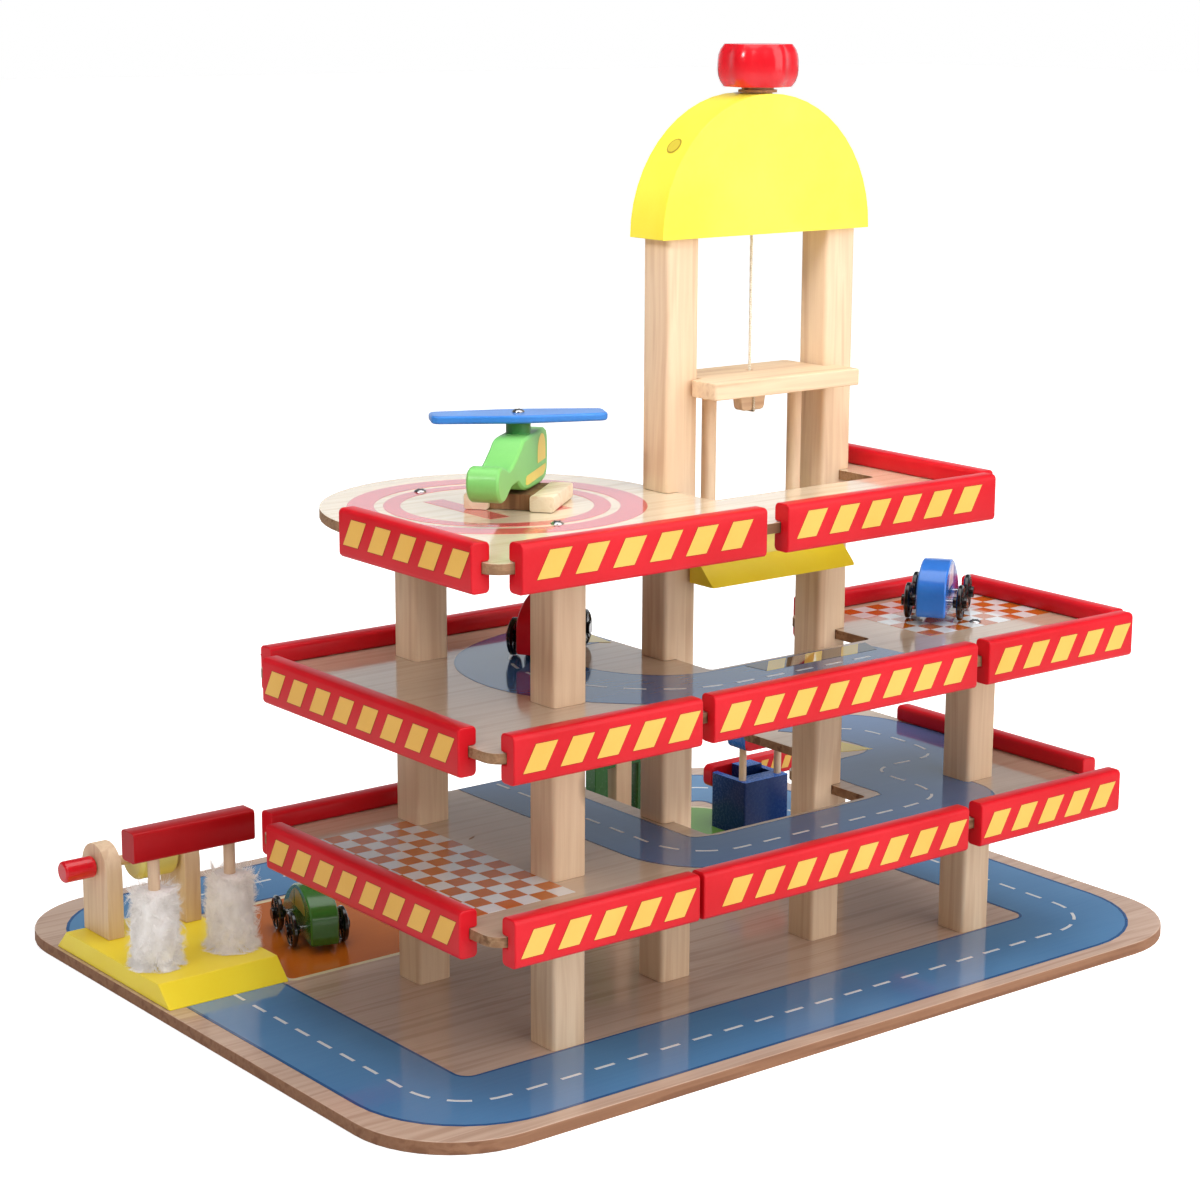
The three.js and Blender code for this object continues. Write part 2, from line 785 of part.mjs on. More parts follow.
function buildWash() {
  const x = -boardLength / 2 + washEdgeMargin + washWidth / 2;
  const wash = addGroup(garage, x, deckBackY + washSetBack + washDepth / 2, boardThickness);
  addPart(wash, 'wash_base', washBase(), paint('yellow', 0.25));
  addPart(wash, 'wash_board_left', washBoard(washLeftBoardX), paint('pine', 0.6));
  addPart(wash, 'wash_board_right', washBoard(washRightBoardX - washBoardThickness), paint('pine', 0.6));
  addPart(wash, 'wash_crank', washCrank(), paint('red', 0.25));
  addPart(wash, 'wash_roller', washRoller(), paint('cream', 0.4));
  addPart(wash, 'wash_beam', washBeam(), paint('red', 0.25));
  ['left', 'right'].forEach((side, i) => {
    const brush = addPart(wash, `wash_brush_${side}`, washBrush(), paint('white', 0.95));
    brush.position.set(washDowelXs[i], -beamSetForward, washHeight + restGap);
  });
}

const barrierZ = stationHeight + hingeBlockRise - barrierHeight / 2;
const canopyDowelXs = [-1, 1].map((side) => side * (stationWidth / 2 - canopyDowelInset));
const canopyDowelY = -stationDepth / 2 + canopyDowelSetBack;

function canopyDowels(radius) {
  return canopyDowelXs.map((x) => circle(radius, smallCircleSides, x, canopyDowelY));
}

// The station is a block with a pocket, open at the back beside a raised hinge block
function stationBody() {
  const halfWidth = stationWidth / 2;
  const halfDepth = stationDepth / 2;
  const plan = rectangle(-halfWidth, -halfDepth, halfWidth, halfDepth, stationEdgeRadius);
  const pocket = box(
    -halfWidth + stationWall,
    halfWidth - stationWall,
    -halfDepth + stationFrontWall,
    halfDepth + overrun,
    stationHeight - stationPocketDepth,
    stationHeight + overrun,
  );
  const hingeBlock = box(
    hingeBlockShift - hingeBlockWidth / 2,
    hingeBlockShift + hingeBlockWidth / 2,
    halfDepth - hingeBlockDepth,
    halfDepth,
    stationHeight - stationPocketDepth - overrun,
    stationHeight + hingeBlockRise,
  );
  const sockets = canopyDowels(canopyDowelRadius + slotFit).map((section) => (
    prism(section, 'z', stationHeight - canopyDowelSocket - slotFit, stationHeight + overrun)
  ));
  const pinHole = prism(
    circle(barrierPinRadius + turnGap, smallCircleSides, hingeBlockShift, barrierZ),
    'y',
    halfDepth - barrierPinLength,
    halfDepth + overrun,
  );
  return cut(join(cut(prism(plan, 'z', 0, stationHeight), pocket), hingeBlock), pinHole, ...sockets);
}

function stationCanopy() {
  const bottom = stationHeight + canopyClearHeight;
  const front = -stationDepth / 2;
  const halfWidth = canopyWidth / 2;
  const end = rectangle(-halfWidth, bottom, halfWidth, bottom + canopyThickness, canopyEdgeRadius);
  const dowels = canopyDowels(canopyDowelRadius).map((section) => (
    prism(section, 'z', stationHeight - canopyDowelSocket, bottom + canopyThickness / 2)
  ));
  return join(prism(end, 'y', front, front + canopyDepth), ...dowels);
}

// The arm swings on a pin that turns in the hinge block
function barrierArm() {
  const back = stationDepth / 2 + barrierGap;
  const start = hingeBlockShift - barrierTail;
  const half = barrierHeight / 2;
  const face = rectangle(
    start,
    barrierZ - half,
    start + barrierLength,
    barrierZ + half,
    barrierEndRadius,
  );
  const pin = circle(barrierPinRadius, smallCircleSides, hingeBlockShift, barrierZ);
  return join(
    prism(face, 'y', back, back + barrierThickness),
    prism(pin, 'y', back - barrierPinLength, back + barrierThickness / 2),
  );
}

function buildStation() {
  const y = deckBackY + stationSetBack + stationDepth / 2;
  const station = addGroup(garage, stationX, y, boardThickness);
  addPart(station, 'station_body', stationBody(), paint('darkBlue', 0.3));
  addPart(station, 'station_canopy', stationCanopy(), paint('darkBlue', 0.3));
  addPart(station, 'barrier_arm', barrierArm(), paint('red', 0.25));
}

function buildServiceFrame() {
  const place = addGroup(garage, frameX, deckBackY + frameSetBack, boardThickness);
  const halfWidth = frameWidth / 2;
  const halfThickness = frameThickness / 2;
  const topHalf = frameOpeningWidth / 2;
  const bottomHalf = topHalf - frameOpeningTaper / 2;
  const opening = outline([
    [-bottomHalf, frameSill],
    [bottomHalf, frameSill],
    [topHalf, frameHeight - frameLintel],
    [-topHalf, frameHeight - frameLintel],
  ]);
  const board = prism(rectangle(-halfWidth, 0, halfWidth, frameHeight), 'y', -halfThickness, halfThickness);
  const halfPost = framePostSide / 2;
  const post = box(-halfPost, halfPost, -halfPost, halfPost, 0, frameHeight);
  const frame = join(cut(board, prism(opening, 'y', -frameThickness, frameThickness)), post);
  addPart(place, 'service_frame', frame, paint('green', 0.3));
}

// Smooth outline through shares of a length and a height; an open one is closed by a straight line
function smoothShape(shares, startX, length, baseZ, height, closed) {
  const points = shares.map(([along, up]) => (
    new THREE.Vector3(startX + along * length, baseZ + up * height, 0)
  ));
  const curve = new THREE.CatmullRomCurve3(points, closed);
  const smooth = curve.getPoints(2 * (closed ? points.length : points.length - 1));
  if (closed) smooth.pop();
  return new THREE.Shape(smooth.map((point) => new THREE.Vector2(point.x, point.y)));
}

// Side view of the helicopter, nose to +X: shares of its length from the tail and of its height
const helicopterOutlineShares = [
  [0.77, 0.01], [0.89, 0], [0.96, 0.06], [0.99, 0.17], [1, 0.36], [1, 0.7], [0.985, 0.9], [0.95, 0.98],
  [0.85, 0.99], [0.72, 0.99], [0.6, 1], [0.51, 0.98], [0.46, 0.89], [0.4, 0.8], [0.32, 0.69], [0.23, 0.62],
  [0.18, 0.67], [0.1, 0.76], [0.03, 0.73], [0, 0.58], [0, 0.4], [0.03, 0.23], [0.08, 0.13], [0.14, 0.12],
  [0.19, 0.18], [0.25, 0.27], [0.32, 0.29], [0.4, 0.29], [0.45, 0.19], [0.53, 0.08], [0.63, 0.03],
];

function helicopterBody() {
  const tail = -helicopterLength * helicopterTailShare;
  const side = smoothShape(helicopterOutlineShares, tail, helicopterLength, 0, helicopterHeight, true);
  const half = helicopterWidth / 2;
  const mast = circle(mastRadius, circleSides, -mastSetBack, 0);
  const pinHole = circle(rotorPinRadius + turnGap, smallCircleSides, -mastSetBack, 0);
  const mastTop = helicopterHeight + mastHeight;
  return cut(
    join(
      prism(side, 'y', -half, half, helicopterBevel),
      prism(mast, 'z', helicopterHeight - mastRoot, mastTop),
    ),
    prism(pinHole, 'z', mastTop - rotorPinLength - restGap, mastTop + overrun),
  );
}

function helicopterSkids() {
  const halfLength = skidLength / 2;
  const halfWidth = skidWidth / 2;
  const blocks = [-1, 1].map((side) => {
    const centre = (side * skidSpacing) / 2;
    const end = rectangle(centre - halfWidth, 0, centre + halfWidth, skidHeight, skidEdgeRadius);
    return prism(end, 'x', -halfLength, halfLength);
  });
  const halfBar = crossBarLength / 2;
  const reach = skidSpacing / 2;
  const bar = box(-halfBar, halfBar, -reach, reach, 0, skidHeight - slotFit);
  return join(...blocks, bar);
}

function helicopterRotor() {
  const halfTip = rotorTipWidth / 2;
  const halfWidth = rotorWidth / 2;
  const reach = rotorLength / 2;
  const blade = outline([
    [-reach, -halfTip, rotorTipRadius],
    [0, -halfWidth, rotorLength],
    [reach, -halfTip, rotorTipRadius],
    [reach, halfTip, rotorTipRadius],
    [0, halfWidth, rotorLength],
    [-reach, halfTip, rotorTipRadius],
  ]);
  return join(
    prism(blade, 'z', 0, rotorThickness, rotorBevel),
    prism(circle(rotorPinRadius), 'z', -rotorPinLength, rotorThickness / 2),
  );
}

function buildHelicopter() {
  const x = helipadX + helicopterShiftX;
  const y = helipadY + helicopterShiftY;
  const craft = addGroup(garage, x, y, deckTop(upperLevel) + restGap, helicopterHeading);
  addPart(craft, 'helicopter_skids', helicopterSkids(), paint('pine', 0.6));
  const bodyZ = skidHeight + restGap;
  const body = addPart(craft, 'helicopter_body', helicopterBody(), paint('lightGreen', 0.3));
  body.position.z = bodyZ;
  const rotor = addPart(craft, 'helicopter_rotor', helicopterRotor(), paint('blue', 0.3));
  rotor.position.set(-mastSetBack, 0, bodyZ + helicopterHeight + mastHeight + restGap);
  rotor.rotation.z = THREE.MathUtils.degToRad(rotorDegrees);
}

// Side view of a car over its belly, front to +X: shares of its length from the rear and of its height
const carOutlineShares = [
  [0.01, 0], [0, 0.06], [0, 0.3], [0, 0.52], [0.03, 0.68], [0.12, 0.83], [0.25, 0.95], [0.38, 1],
  [0.5, 0.98], [0.62, 0.89], [0.75, 0.73], [0.87, 0.53], [0.96, 0.31], [1, 0.12], [0.98, 0],
];

function plainCarBody() {
  const halfWidth = carWidth / 2;
  const side = smoothShape(carOutlineShares, -carRearReach, carLength, carGroundGap, carHeight, false);
  return prism(side, 'y', -halfWidth, halfWidth, carBevel);
}

function boredCarBody() {
  const bores = [-1, 1].map((end) => {
    const section = circle(axleRadius + turnGap, smallCircleSides, (end * wheelBase) / 2, wheelRadius);
    return prism(section, 'y', -carWidth, carWidth);
  });
  return cut(plainCarBody(), ...bores);
}

// Half of a wheel set's profile, from the hub's tip inward: [radius, distance from the middle]
function wheelProfile() {
  const tip = wheelHubSpan / 2;
  const rimOut = tip - wheelHubTip;
  const rimIn = rimOut - wheelRimWidth;
  const rimInner = wheelRadius - wheelRimDepth;
  const shoulder = wheelRimWidth / 4;
  return [
    [0, tip],
    [wheelHubRadius, tip],
    [wheelHubRadius, rimOut - wheelWebRecess],
    [rimInner, rimOut - wheelWebRecess],
    [rimInner + shoulder, rimOut],
    [wheelRadius, rimOut - shoulder],
    [wheelRadius, rimIn + shoulder],
    [rimInner + shoulder, rimIn],
    [rimInner, rimIn + wheelWebRecess],
    [wheelHubRadius, rimIn + wheelWebRecess],
    [wheelHubRadius, rimIn - wheelInnerHub],
    [axleRadius, rimIn - wheelInnerHub],
  ];
}

// Two wheels with their hubs on one axle, turned about Y
function wheelSet() {
  const half = wheelProfile();
  const lower = half.map(([radius, reach]) => [radius, -reach]);
  return turned([...lower, ...half.reverse()], wheelSides).rotateX(-Math.PI / 2);
}

function addCar(name, colour, x, y, level, heading, wheelsTurn) {
  const car = addGroup(garage, x, y, deckTop(level) + restGap, heading);
  const axleXs = { rear: -wheelBase / 2, front: wheelBase / 2 };
  if (wheelsTurn) {
    addPart(car, `${name}_body`, boredCarBody(), paint(colour, 0.3));
    for (const [end, axleX] of Object.entries(axleXs)) {
      const wheels = addPart(car, `${name}_${end}_wheels`, wheelSet(), paint('black', 0.25));
      wheels.position.set(axleX, 0, wheelRadius);
    }
  } else {
    const sets = Object.values(axleXs).map((axleX) => wheelSet().translate(axleX, 0, wheelRadius));
    addPart(car, name, join(plainCarBody(), ...sets), paint(colour, 0.3));
  }
}

// The cars keep their distances from the edges that they stand by
const greenCar = { fromWash: 49.8, fromDecks: 61.4, heading: 73.5 };
const blueCar = { fromRight: 59.6, fromWingBack: 49.1, heading: 37.4 };
const redCar = { fromNotch: 43.1, fromDeckBack: 67, heading: 34.8 };

buildBoard();
buildDecks();
buildPosts();
buildTower();
buildLift();
buildRails();
buildWash();
buildStation();
buildServiceFrame();
buildHelicopter();
addCar(
  'green_car',
  'green',
  -boardLength / 2 + washEdgeMargin + washWidth + greenCar.fromWash,
  deckBackY + greenCar.fromDecks,
  0,
  greenCar.heading,
  true,
);
addCar(
  'blue_car',
  'blue',
  deckRightX - blueCar.fromRight,
  wingBackY - blueCar.fromWingBack,
  middleLevel,
  blueCar.heading,
  true,
);
addCar(
  'red_car',
  'red',
  notchLeftX - redCar.fromNotch,
  deckBackY - redCar.fromDeckBack,
  middleLevel,
  redCar.heading,
  false,
);

export default garage;
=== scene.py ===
import json
import math
import random

import bmesh
import bpy
from mathutils import Matrix, Vector

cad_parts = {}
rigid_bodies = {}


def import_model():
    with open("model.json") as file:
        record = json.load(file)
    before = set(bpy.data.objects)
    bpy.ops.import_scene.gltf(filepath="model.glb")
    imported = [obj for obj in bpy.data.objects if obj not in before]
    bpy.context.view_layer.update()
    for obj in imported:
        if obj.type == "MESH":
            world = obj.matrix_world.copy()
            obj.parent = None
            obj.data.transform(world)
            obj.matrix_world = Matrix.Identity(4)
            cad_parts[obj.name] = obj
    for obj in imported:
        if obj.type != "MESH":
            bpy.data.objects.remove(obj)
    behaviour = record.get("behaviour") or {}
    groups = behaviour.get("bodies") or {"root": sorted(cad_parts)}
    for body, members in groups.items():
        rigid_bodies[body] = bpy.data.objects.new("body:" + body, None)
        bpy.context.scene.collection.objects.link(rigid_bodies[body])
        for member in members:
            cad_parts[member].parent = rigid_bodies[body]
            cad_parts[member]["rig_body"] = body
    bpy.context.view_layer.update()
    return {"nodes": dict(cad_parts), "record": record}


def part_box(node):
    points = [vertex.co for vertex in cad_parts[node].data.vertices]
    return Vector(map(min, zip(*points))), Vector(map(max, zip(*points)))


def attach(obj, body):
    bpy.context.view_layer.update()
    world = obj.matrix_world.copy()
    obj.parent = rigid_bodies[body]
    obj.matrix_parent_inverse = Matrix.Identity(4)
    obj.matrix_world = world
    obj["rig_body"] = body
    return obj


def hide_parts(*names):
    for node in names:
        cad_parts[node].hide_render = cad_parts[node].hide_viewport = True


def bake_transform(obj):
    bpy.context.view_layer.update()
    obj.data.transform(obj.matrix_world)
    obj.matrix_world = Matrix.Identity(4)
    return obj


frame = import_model()
nodes = frame["nodes"]
slots = {s["node"]: s["material_slot"] for s in frame["record"]["subparts"]}


def mm(*values):
    """Millimetres as metres: one value as a number, three as a vector."""
    scaled = [v * 0.001 for v in values]
    return scaled[0] if len(scaled) == 1 else Vector(scaled)


# The camera, fitted to the photo: heading from +Y to +X, drop below level and roll in degrees
CAMERA_HEADING, CAMERA_DROP, CAMERA_ROLL = 38.174, 12.619, 0.2676
CAMERA_PLACE = mm(-958.05, -1216.65, 548.05)
SENSOR_WIDTH, FOCAL_LENGTH = 36, 82.076


def make_camera():
    """The photo's camera, turned by its three angles."""
    azimuth, elevation, roll = (math.radians(v) for v in (CAMERA_HEADING, CAMERA_DROP, CAMERA_ROLL))
    look = Vector((math.sin(azimuth) * math.cos(elevation),
                   math.cos(azimuth) * math.cos(elevation),
                   -math.sin(elevation)))
    right = Vector((math.cos(azimuth), -math.sin(azimuth), 0))
    up = right.cross(look)
    across = right * math.cos(roll) + up * math.sin(roll)
    above = up * math.cos(roll) - right * math.sin(roll)
    data = bpy.data.cameras.new("camera")
    data.sensor_width = SENSOR_WIDTH
    data.lens = FOCAL_LENGTH
    data.clip_start, data.clip_end = 0.1, 50
    cam = bpy.data.objects.new("camera", data)
    turn = Matrix((across, above, -look)).transposed().to_4x4()
    cam.matrix_world = Matrix.Translation(CAMERA_PLACE) @ turn
    bpy.context.scene.collection.objects.link(cam)
    bpy.context.scene.camera = cam


make_camera()


# Materials
class Tree:
    """A node tree with a short way to add nodes to it."""

    def __init__(self, tree):
        self.tree = tree

    def node(self, kind, inputs=None, **settings):
        """A new node; an input is linked where it gets a socket and set where it gets a value."""
        made = self.tree.nodes.new(kind)
        for key, value in settings.items():
            setattr(made, key, value)
        for key, value in (inputs or {}).items():
            if isinstance(value, bpy.types.NodeSocket):
                self.tree.links.new(value, made.inputs[key])
            else:
                made.inputs[key].default_value = value
        return made


class Graph(Tree):
    """A material with its shader and the textures that the looks share."""

    def __init__(self, name, rough=0.4, **sockets):
        self.material = bpy.data.materials.new(name)
        self.material.use_nodes = True
        super().__init__(self.material.node_tree)
        self.shader = self.tree.nodes["Principled BSDF"]
        self.shader.inputs["Roughness"].default_value = rough
        for key, value in sockets.items():
            self.shader.inputs[key.replace("_", " ")].default_value = value
        self.place = self.node("ShaderNodeTexCoord").outputs["Object"]

    def mapped(self, scale, shift=(0, 0, 0)):
        inputs = {"Vector": self.place, "Location": shift, "Scale": scale}
        return self.node("ShaderNodeMapping", inputs).outputs["Vector"]

    def noise(self, vector, scale, detail=4.0, rough=0.55, distortion=0.0):
        return self.node("ShaderNodeTexNoise", {
            "Vector": vector, "Scale": scale, "Detail": detail, "Roughness": rough,
            "Distortion": distortion,
        }).outputs["Fac"]

    def ramp(self, factor, *stops):
        """A colour ramp; each stop has a place and a colour, or one number for a grey."""
        made = self.node("ShaderNodeValToRGB", {"Fac": factor})
        elements = made.color_ramp.elements
        while len(elements) < len(stops):
            elements.new(0.5)
        for element, (place, colour) in zip(elements, stops):
            element.position = place
            element.color = (*(colour if isinstance(colour, tuple) else (colour,) * 3), 1)
        return made.outputs["Color"]

    def mix(self, factor, a, b):
        """A mix of two colours, each a socket or three numbers."""
        inputs = {0: factor}
        for key, value in ((6, a), (7, b)):
            inputs[key] = (*value, 1) if isinstance(value, tuple) else value
        return self.node("ShaderNodeMix", inputs, data_type="RGBA").outputs[2]

    def colour(self, socket):
        self.tree.links.new(socket, self.shader.inputs["Base Color"])

    def rough(self, socket, low, high):
        made = self.node("ShaderNodeMapRange", {"Value": socket, "To Min": low, "To Max": high})
        self.tree.links.new(made.outputs["Result"], self.shader.inputs["Roughness"])

    def bump(self, height, strength, distance):
        made = self.node("ShaderNodeBump", {"Height": height, "Strength": strength, "Distance": distance})
        self.tree.links.new(made.outputs["Normal"], self.shader.inputs["Normal"])


def srgb(red, green, blue):
    """A screen colour, 0 to 255, in linear light."""
    def linear(v):
        v /= 255
        return v / 12.92 if v <= 0.04045 else ((v + 0.055) / 1.055) ** 2.4

    return linear(red), linear(green), linear(blue)


def lacquer(name, tint, shade, rough, coat, specular=0.3):
    """Brushed lacquer on wood: a slow change of tone, the wood's grain just felt through the paint."""
    g = Graph(name, rough, Coat_Weight=coat, Coat_Roughness=0.12, Specular_IOR_Level=specular)
    tint, shade = srgb(*tint), srgb(*shade)
    slow = g.noise(g.place, 16, 3)
    fine = g.noise(g.mapped((90, 90, 90)), 6, 4)
    tone = g.ramp(slow, (0.3, shade), (0.7, tint))
    g.colour(g.mix(0.12, tone, g.ramp(fine, (0.35, shade), (0.65, tint))))
    g.rough(fine, rough - 0.05, rough + 0.07)
    g.bump(g.noise(g.place, 140, 3), 0.05, 0.0003)
    return g.material


def timber(name, light, dark, grain, rough=0.55, knots=0.0, coat=0.0, streak=0.9, seed=0.0,
           specular=0.25):
    """Planed wood with its grain along an axis, growth lines, pores and here and there a knot."""
    g = Graph(name, rough, Coat_Weight=coat, Coat_Roughness=0.06, Specular_IOR_Level=specular)
    light, dark = srgb(*light), srgb(*dark)
    stretch = [1.0, 1.0, 1.0]
    stretch["xyz".index(grain)] = 0.035
    straight = g.mapped(tuple(stretch), (seed, seed * 0.7, seed * 1.3))
    drift = g.noise(g.place, 5, 2)
    wobble = g.node("ShaderNodeCombineXYZ", {"X": drift, "Y": drift}).outputs[0]
    small = g.node("ShaderNodeVectorMath", {0: wobble, 1: (0.012, 0.012, 0.012)}, operation="MULTIPLY")
    along = g.node("ShaderNodeVectorMath", {0: straight, 1: small.outputs[0]}, operation="ADD").outputs[0]
    rings = g.noise(along, 170, 2, 0.5, 0.3)
    fibres = g.noise(along, 1500, 4)
    broad = g.noise(along, 60, 2)
    deep = tuple(a + (b - a) * min(streak, 1) for a, b in zip(light, dark))
    late = tuple(0.5 * a + 0.5 * b for a, b in zip(light, deep))
    base = g.ramp(rings, (0.36, deep), (0.5, light), (0.66, late))
    tone = g.mix(g.ramp(broad, (0.35, 0.0), (0.7, 0.35 * streak)), base, dark)
    colour = g.mix(g.ramp(fibres, (0.4, 0.0), (0.75, 0.28 * streak)), tone, dark)
    if knots:
        cells = g.mapped((1, 1, 0.55), (seed, seed, seed))
        spots = g.node("ShaderNodeTexVoronoi", {"Vector": cells, "Scale": 11.0})
        knot = g.ramp(spots.outputs["Distance"], (0.03, knots), (0.075, 0.0))
        colour = g.mix(knot, colour, tuple(0.35 * v for v in dark))
    g.colour(colour)
    g.rough(fibres, rough - 0.06, rough + 0.08)
    g.bump(fibres, 0.12, 0.0003)
    return g.material


def varnished(name, tint, shade, rough=0.1):
    """A printed colour under clear varnish."""
    g = Graph(name, rough, Coat_Weight=0.6, Coat_Roughness=0.03)
    tint, shade = srgb(*tint), srgb(*shade)
    lines = g.noise(g.mapped((0.05, 1, 1)), 420, 4)
    slow = g.noise(g.place, 9, 2)
    tone = g.ramp(slow, (0.3, shade), (0.7, tint))
    g.colour(g.mix(0.16, tone, g.ramp(lines, (0.35, shade), (0.65, tint))))
    g.rough(slow, rough - 0.02, rough + 0.04)
    g.bump(g.noise(g.place, 45, 2), 0.05, 0.0006)
    return g.material


# Name, tint and shade as screen colours, then roughness, coat and specular level
lacquers = {
    "red": ("red_lacquer", (220, 27, 41), (200, 12, 26), 0.34, 0.06, 0.2),
    "beam_red": ("beam_red_lacquer", (194, 18, 28), (172, 8, 16), 0.34, 0.06, 0.2),
    "knob_red": ("knob_red_lacquer", (226, 28, 42), (206, 14, 28), 0.22, 0.4, 0.4),
    "wash_yellow": ("wash_yellow_lacquer", (255, 234, 64), (251, 222, 46), 0.32, 0.12),
    "yellow": ("yellow_lacquer", (255, 240, 86), (251, 229, 63), 0.32, 0.15),
    "stripe": ("yellow_stripe_print", (244, 193, 96), (235, 179, 80), 0.35, 0.08, 0.2),
    "stripe_rim": ("stripe_outline_print", (168, 36, 26), (146, 24, 20), 0.35, 0.05, 0.2),
    "navy": ("navy_lacquer", (22, 52, 110), (16, 42, 96), 0.26, 0.12, 0.25),
    "rim_blue": ("bright_blue_lacquer", (40, 110, 200), (28, 90, 178), 0.26, 0.2),
    "blue": ("car_blue_lacquer", (60, 138, 236), (40, 110, 208), 0.2, 0.6),
    "rotor": ("rotor_blue_lacquer", (58, 140, 224), (40, 112, 200), 0.3, 0.3),
    "green": ("car_green_lacquer", (72, 132, 52), (50, 104, 36), 0.22, 0.5),
    "frame_green": ("frame_green_lacquer", (44, 116, 40), (30, 92, 26), 0.25, 0.4),
    "light_green": ("helicopter_green_lacquer", (140, 214, 120), (120, 198, 102), 0.38, 0.15),
    "mast_green": ("mast_green_lacquer", (70, 150, 74), (52, 128, 58), 0.4, 0.2),
    "window": ("window_yellow_print", (244, 224, 108), (236, 212, 92), 0.35, 0.1),
    "olive": ("window_olive_print", (176, 158, 52), (150, 132, 36), 0.3, 0.3),
    "lilac": ("window_lilac_print", (232, 214, 226), (214, 194, 212), 0.3, 0.3),
    "violet": ("window_violet_print", (110, 100, 176), (88, 78, 152), 0.3, 0.3),
    "cream": ("roller_cream_lacquer", (240, 232, 150), (228, 216, 126), 0.4, 0.2),
    "plug": ("plug_face_lacquer", (226, 206, 70), (196, 172, 52), 0.45, 0.1),
    "plug_rim": ("plug_rim_lacquer", (190, 160, 48), (160, 130, 38), 0.45, 0.1),
}
# Prints under varnish: name, tint and shade
prints = {
    "road": ("road_blue_print", (88, 141, 188), (74, 126, 176)),
    "road_line": ("road_edge_print", (40, 92, 148), (32, 80, 134)),
    "deck_road": ("deck_road_print", (80, 120, 172), (66, 106, 158)),
    "dash": ("white_dash_print", (236, 238, 238), (222, 226, 228)),
    "orange": ("orange_print", (206, 112, 34), (190, 96, 24)),
    "print_green": ("green_area_print", (128, 178, 84), (106, 156, 66)),
    "print_cream": ("cream_border_print", (238, 226, 190), (226, 210, 168)),
    "print_yellow": ("yellow_arrow_print", (236, 214, 96), (222, 196, 74)),
    "print_grey": ("grey_block_print", (60, 54, 44), (48, 44, 36)),
    "ring_red": ("ring_red_print", (226, 92, 96), (212, 74, 80)),
}
PINE_LIGHT, PINE_DARK = (242, 215, 182), (214, 176, 140)
mats = {
    # The skid bar's brown is painted shade: the bar is pale pine like the skids, darkened for the shadow
    # under the helicopter's body. The small mark on the lower deck uses the same brown.
    "bar_shade_brown": timber("skid_bar_painted_shade", (168, 124, 88), (120, 84, 58), "z", 0.6),
    "neck": timber("knob_neck_wood", (214, 168, 132), (170, 120, 86), "z", 0.6),
    "pine_z": timber("pine_upright_grain", PINE_LIGHT, PINE_DARK, "z", 0.5, knots=0.7, streak=0.6),
    "pine_x": timber("pine_level_grain", PINE_LIGHT, PINE_DARK, "x", 0.5, knots=0.6, streak=0.7, seed=3.1),
    "skid": timber("skid_pine", (252, 236, 208), (232, 206, 172), "x", 0.5, streak=0.7, seed=4.4),
    "edge": timber("plywood_edge", (176, 138, 104), (120, 86, 60), "x", 0.7, streak=1.4),
    "board_edge": timber("fibreboard_edge", (160, 118, 90), (132, 92, 68), "x", 0.65),
    "base_top": timber("printed_grain_base", (212, 184, 164), (176, 142, 122), "x", 0.14,
                       coat=0.5, streak=0.6, seed=1.7, specular=0.5),
    "deck_top": timber("printed_grain_deck", (208, 186, 162), (178, 150, 126), "x", 0.12,
                       coat=0.6, streak=0.4, seed=5.2, specular=0.5),
    "pad_top": timber("printed_grain_helipad", (240, 222, 194), (216, 190, 158), "x", 0.14,
                      coat=0.6, streak=0.5, seed=8.4, specular=0.35),
}
mats.update((key, lacquer(*row)) for key, row in lacquers.items())
mats.update((key, varnished(*row)) for key, row in prints.items())


def speckled(name, rough, dark, pale, scale, wear, low, high, bump, depth, **sockets):
    """A hard surface with fine specks and an uneven gloss."""
    g = Graph(name, rough, **sockets)
    speck = g.noise(g.place, scale, 3)
    g.colour(g.ramp(speck, (0.3, srgb(*dark)), (0.7, srgb(*pale))))
    g.rough(g.noise(g.place, wear, 3), low, high)
    g.bump(speck, bump, depth)
    return g.material


def make_fur(name, bright, deep):
    """White pile; it glows a little, for the light that scatters in it."""
    g = Graph(name, 0.9, Sheen_Weight=0.6, Sheen_Roughness=0.6, Emission_Strength=0.08)
    g.shader.inputs["Emission Color"].default_value = (1, 0.99, 0.97, 1)
    tufts = g.noise(g.mapped((1, 1, 0.6)), 160, 4)
    g.colour(g.ramp(tufts, (0.28, deep), (0.6, bright)))
    g.bump(g.noise(g.mapped((1, 1, 0.5)), 500, 4), 0.25, 0.0006)
    return g.material


def make_string():
    g = Graph("twisted_string", 0.8)
    lay = {"Vector": g.mapped((1, 1, 1.6)), "Scale": 300.0, "Distortion": 2.0}
    twist = g.node("ShaderNodeTexWave", lay, wave_type="BANDS", bands_direction="DIAGONAL").outputs["Fac"]
    g.colour(g.ramp(twist, (0.2, srgb(222, 210, 186)), (0.8, srgb(250, 244, 228))))
    g.bump(twist, 0.6, 0.0004)
    return g.material


mats["black"] = speckled("black_wheel_plastic", 0.18, (9, 9, 10), (20, 20, 22), 900, 260, 0.14, 0.28,
                         0.08, 0.0002, Coat_Weight=0.4, Coat_Roughness=0.08)
mats["steel"] = speckled("bright_steel", 0.25, (176, 176, 178), (222, 222, 224), 2400, 2400, 0.18, 0.34,
                         0.05, 0.0001, Metallic=1.0)
mats["fur_white"] = make_fur("white_pile", srgb(247, 243, 240), srgb(226, 220, 214))
mats["fur_grey"] = make_fur("warm_white_pile", srgb(246, 237, 229), srgb(222, 211, 202))
mats["string"] = make_string()


# Tops of the base and of the three decks, and the thickness of a layer of print
BASE_TOP, STOREY = mm(7), mm(92.3)
tops = [BASE_TOP + i * STOREY for i in range(4)]
skin = mm(0.12)


# Mesh helpers
def mesh_from(bm, name):
    mesh = bpy.data.meshes.new(name)
    bm.to_mesh(mesh)
    bm.free()
    return mesh


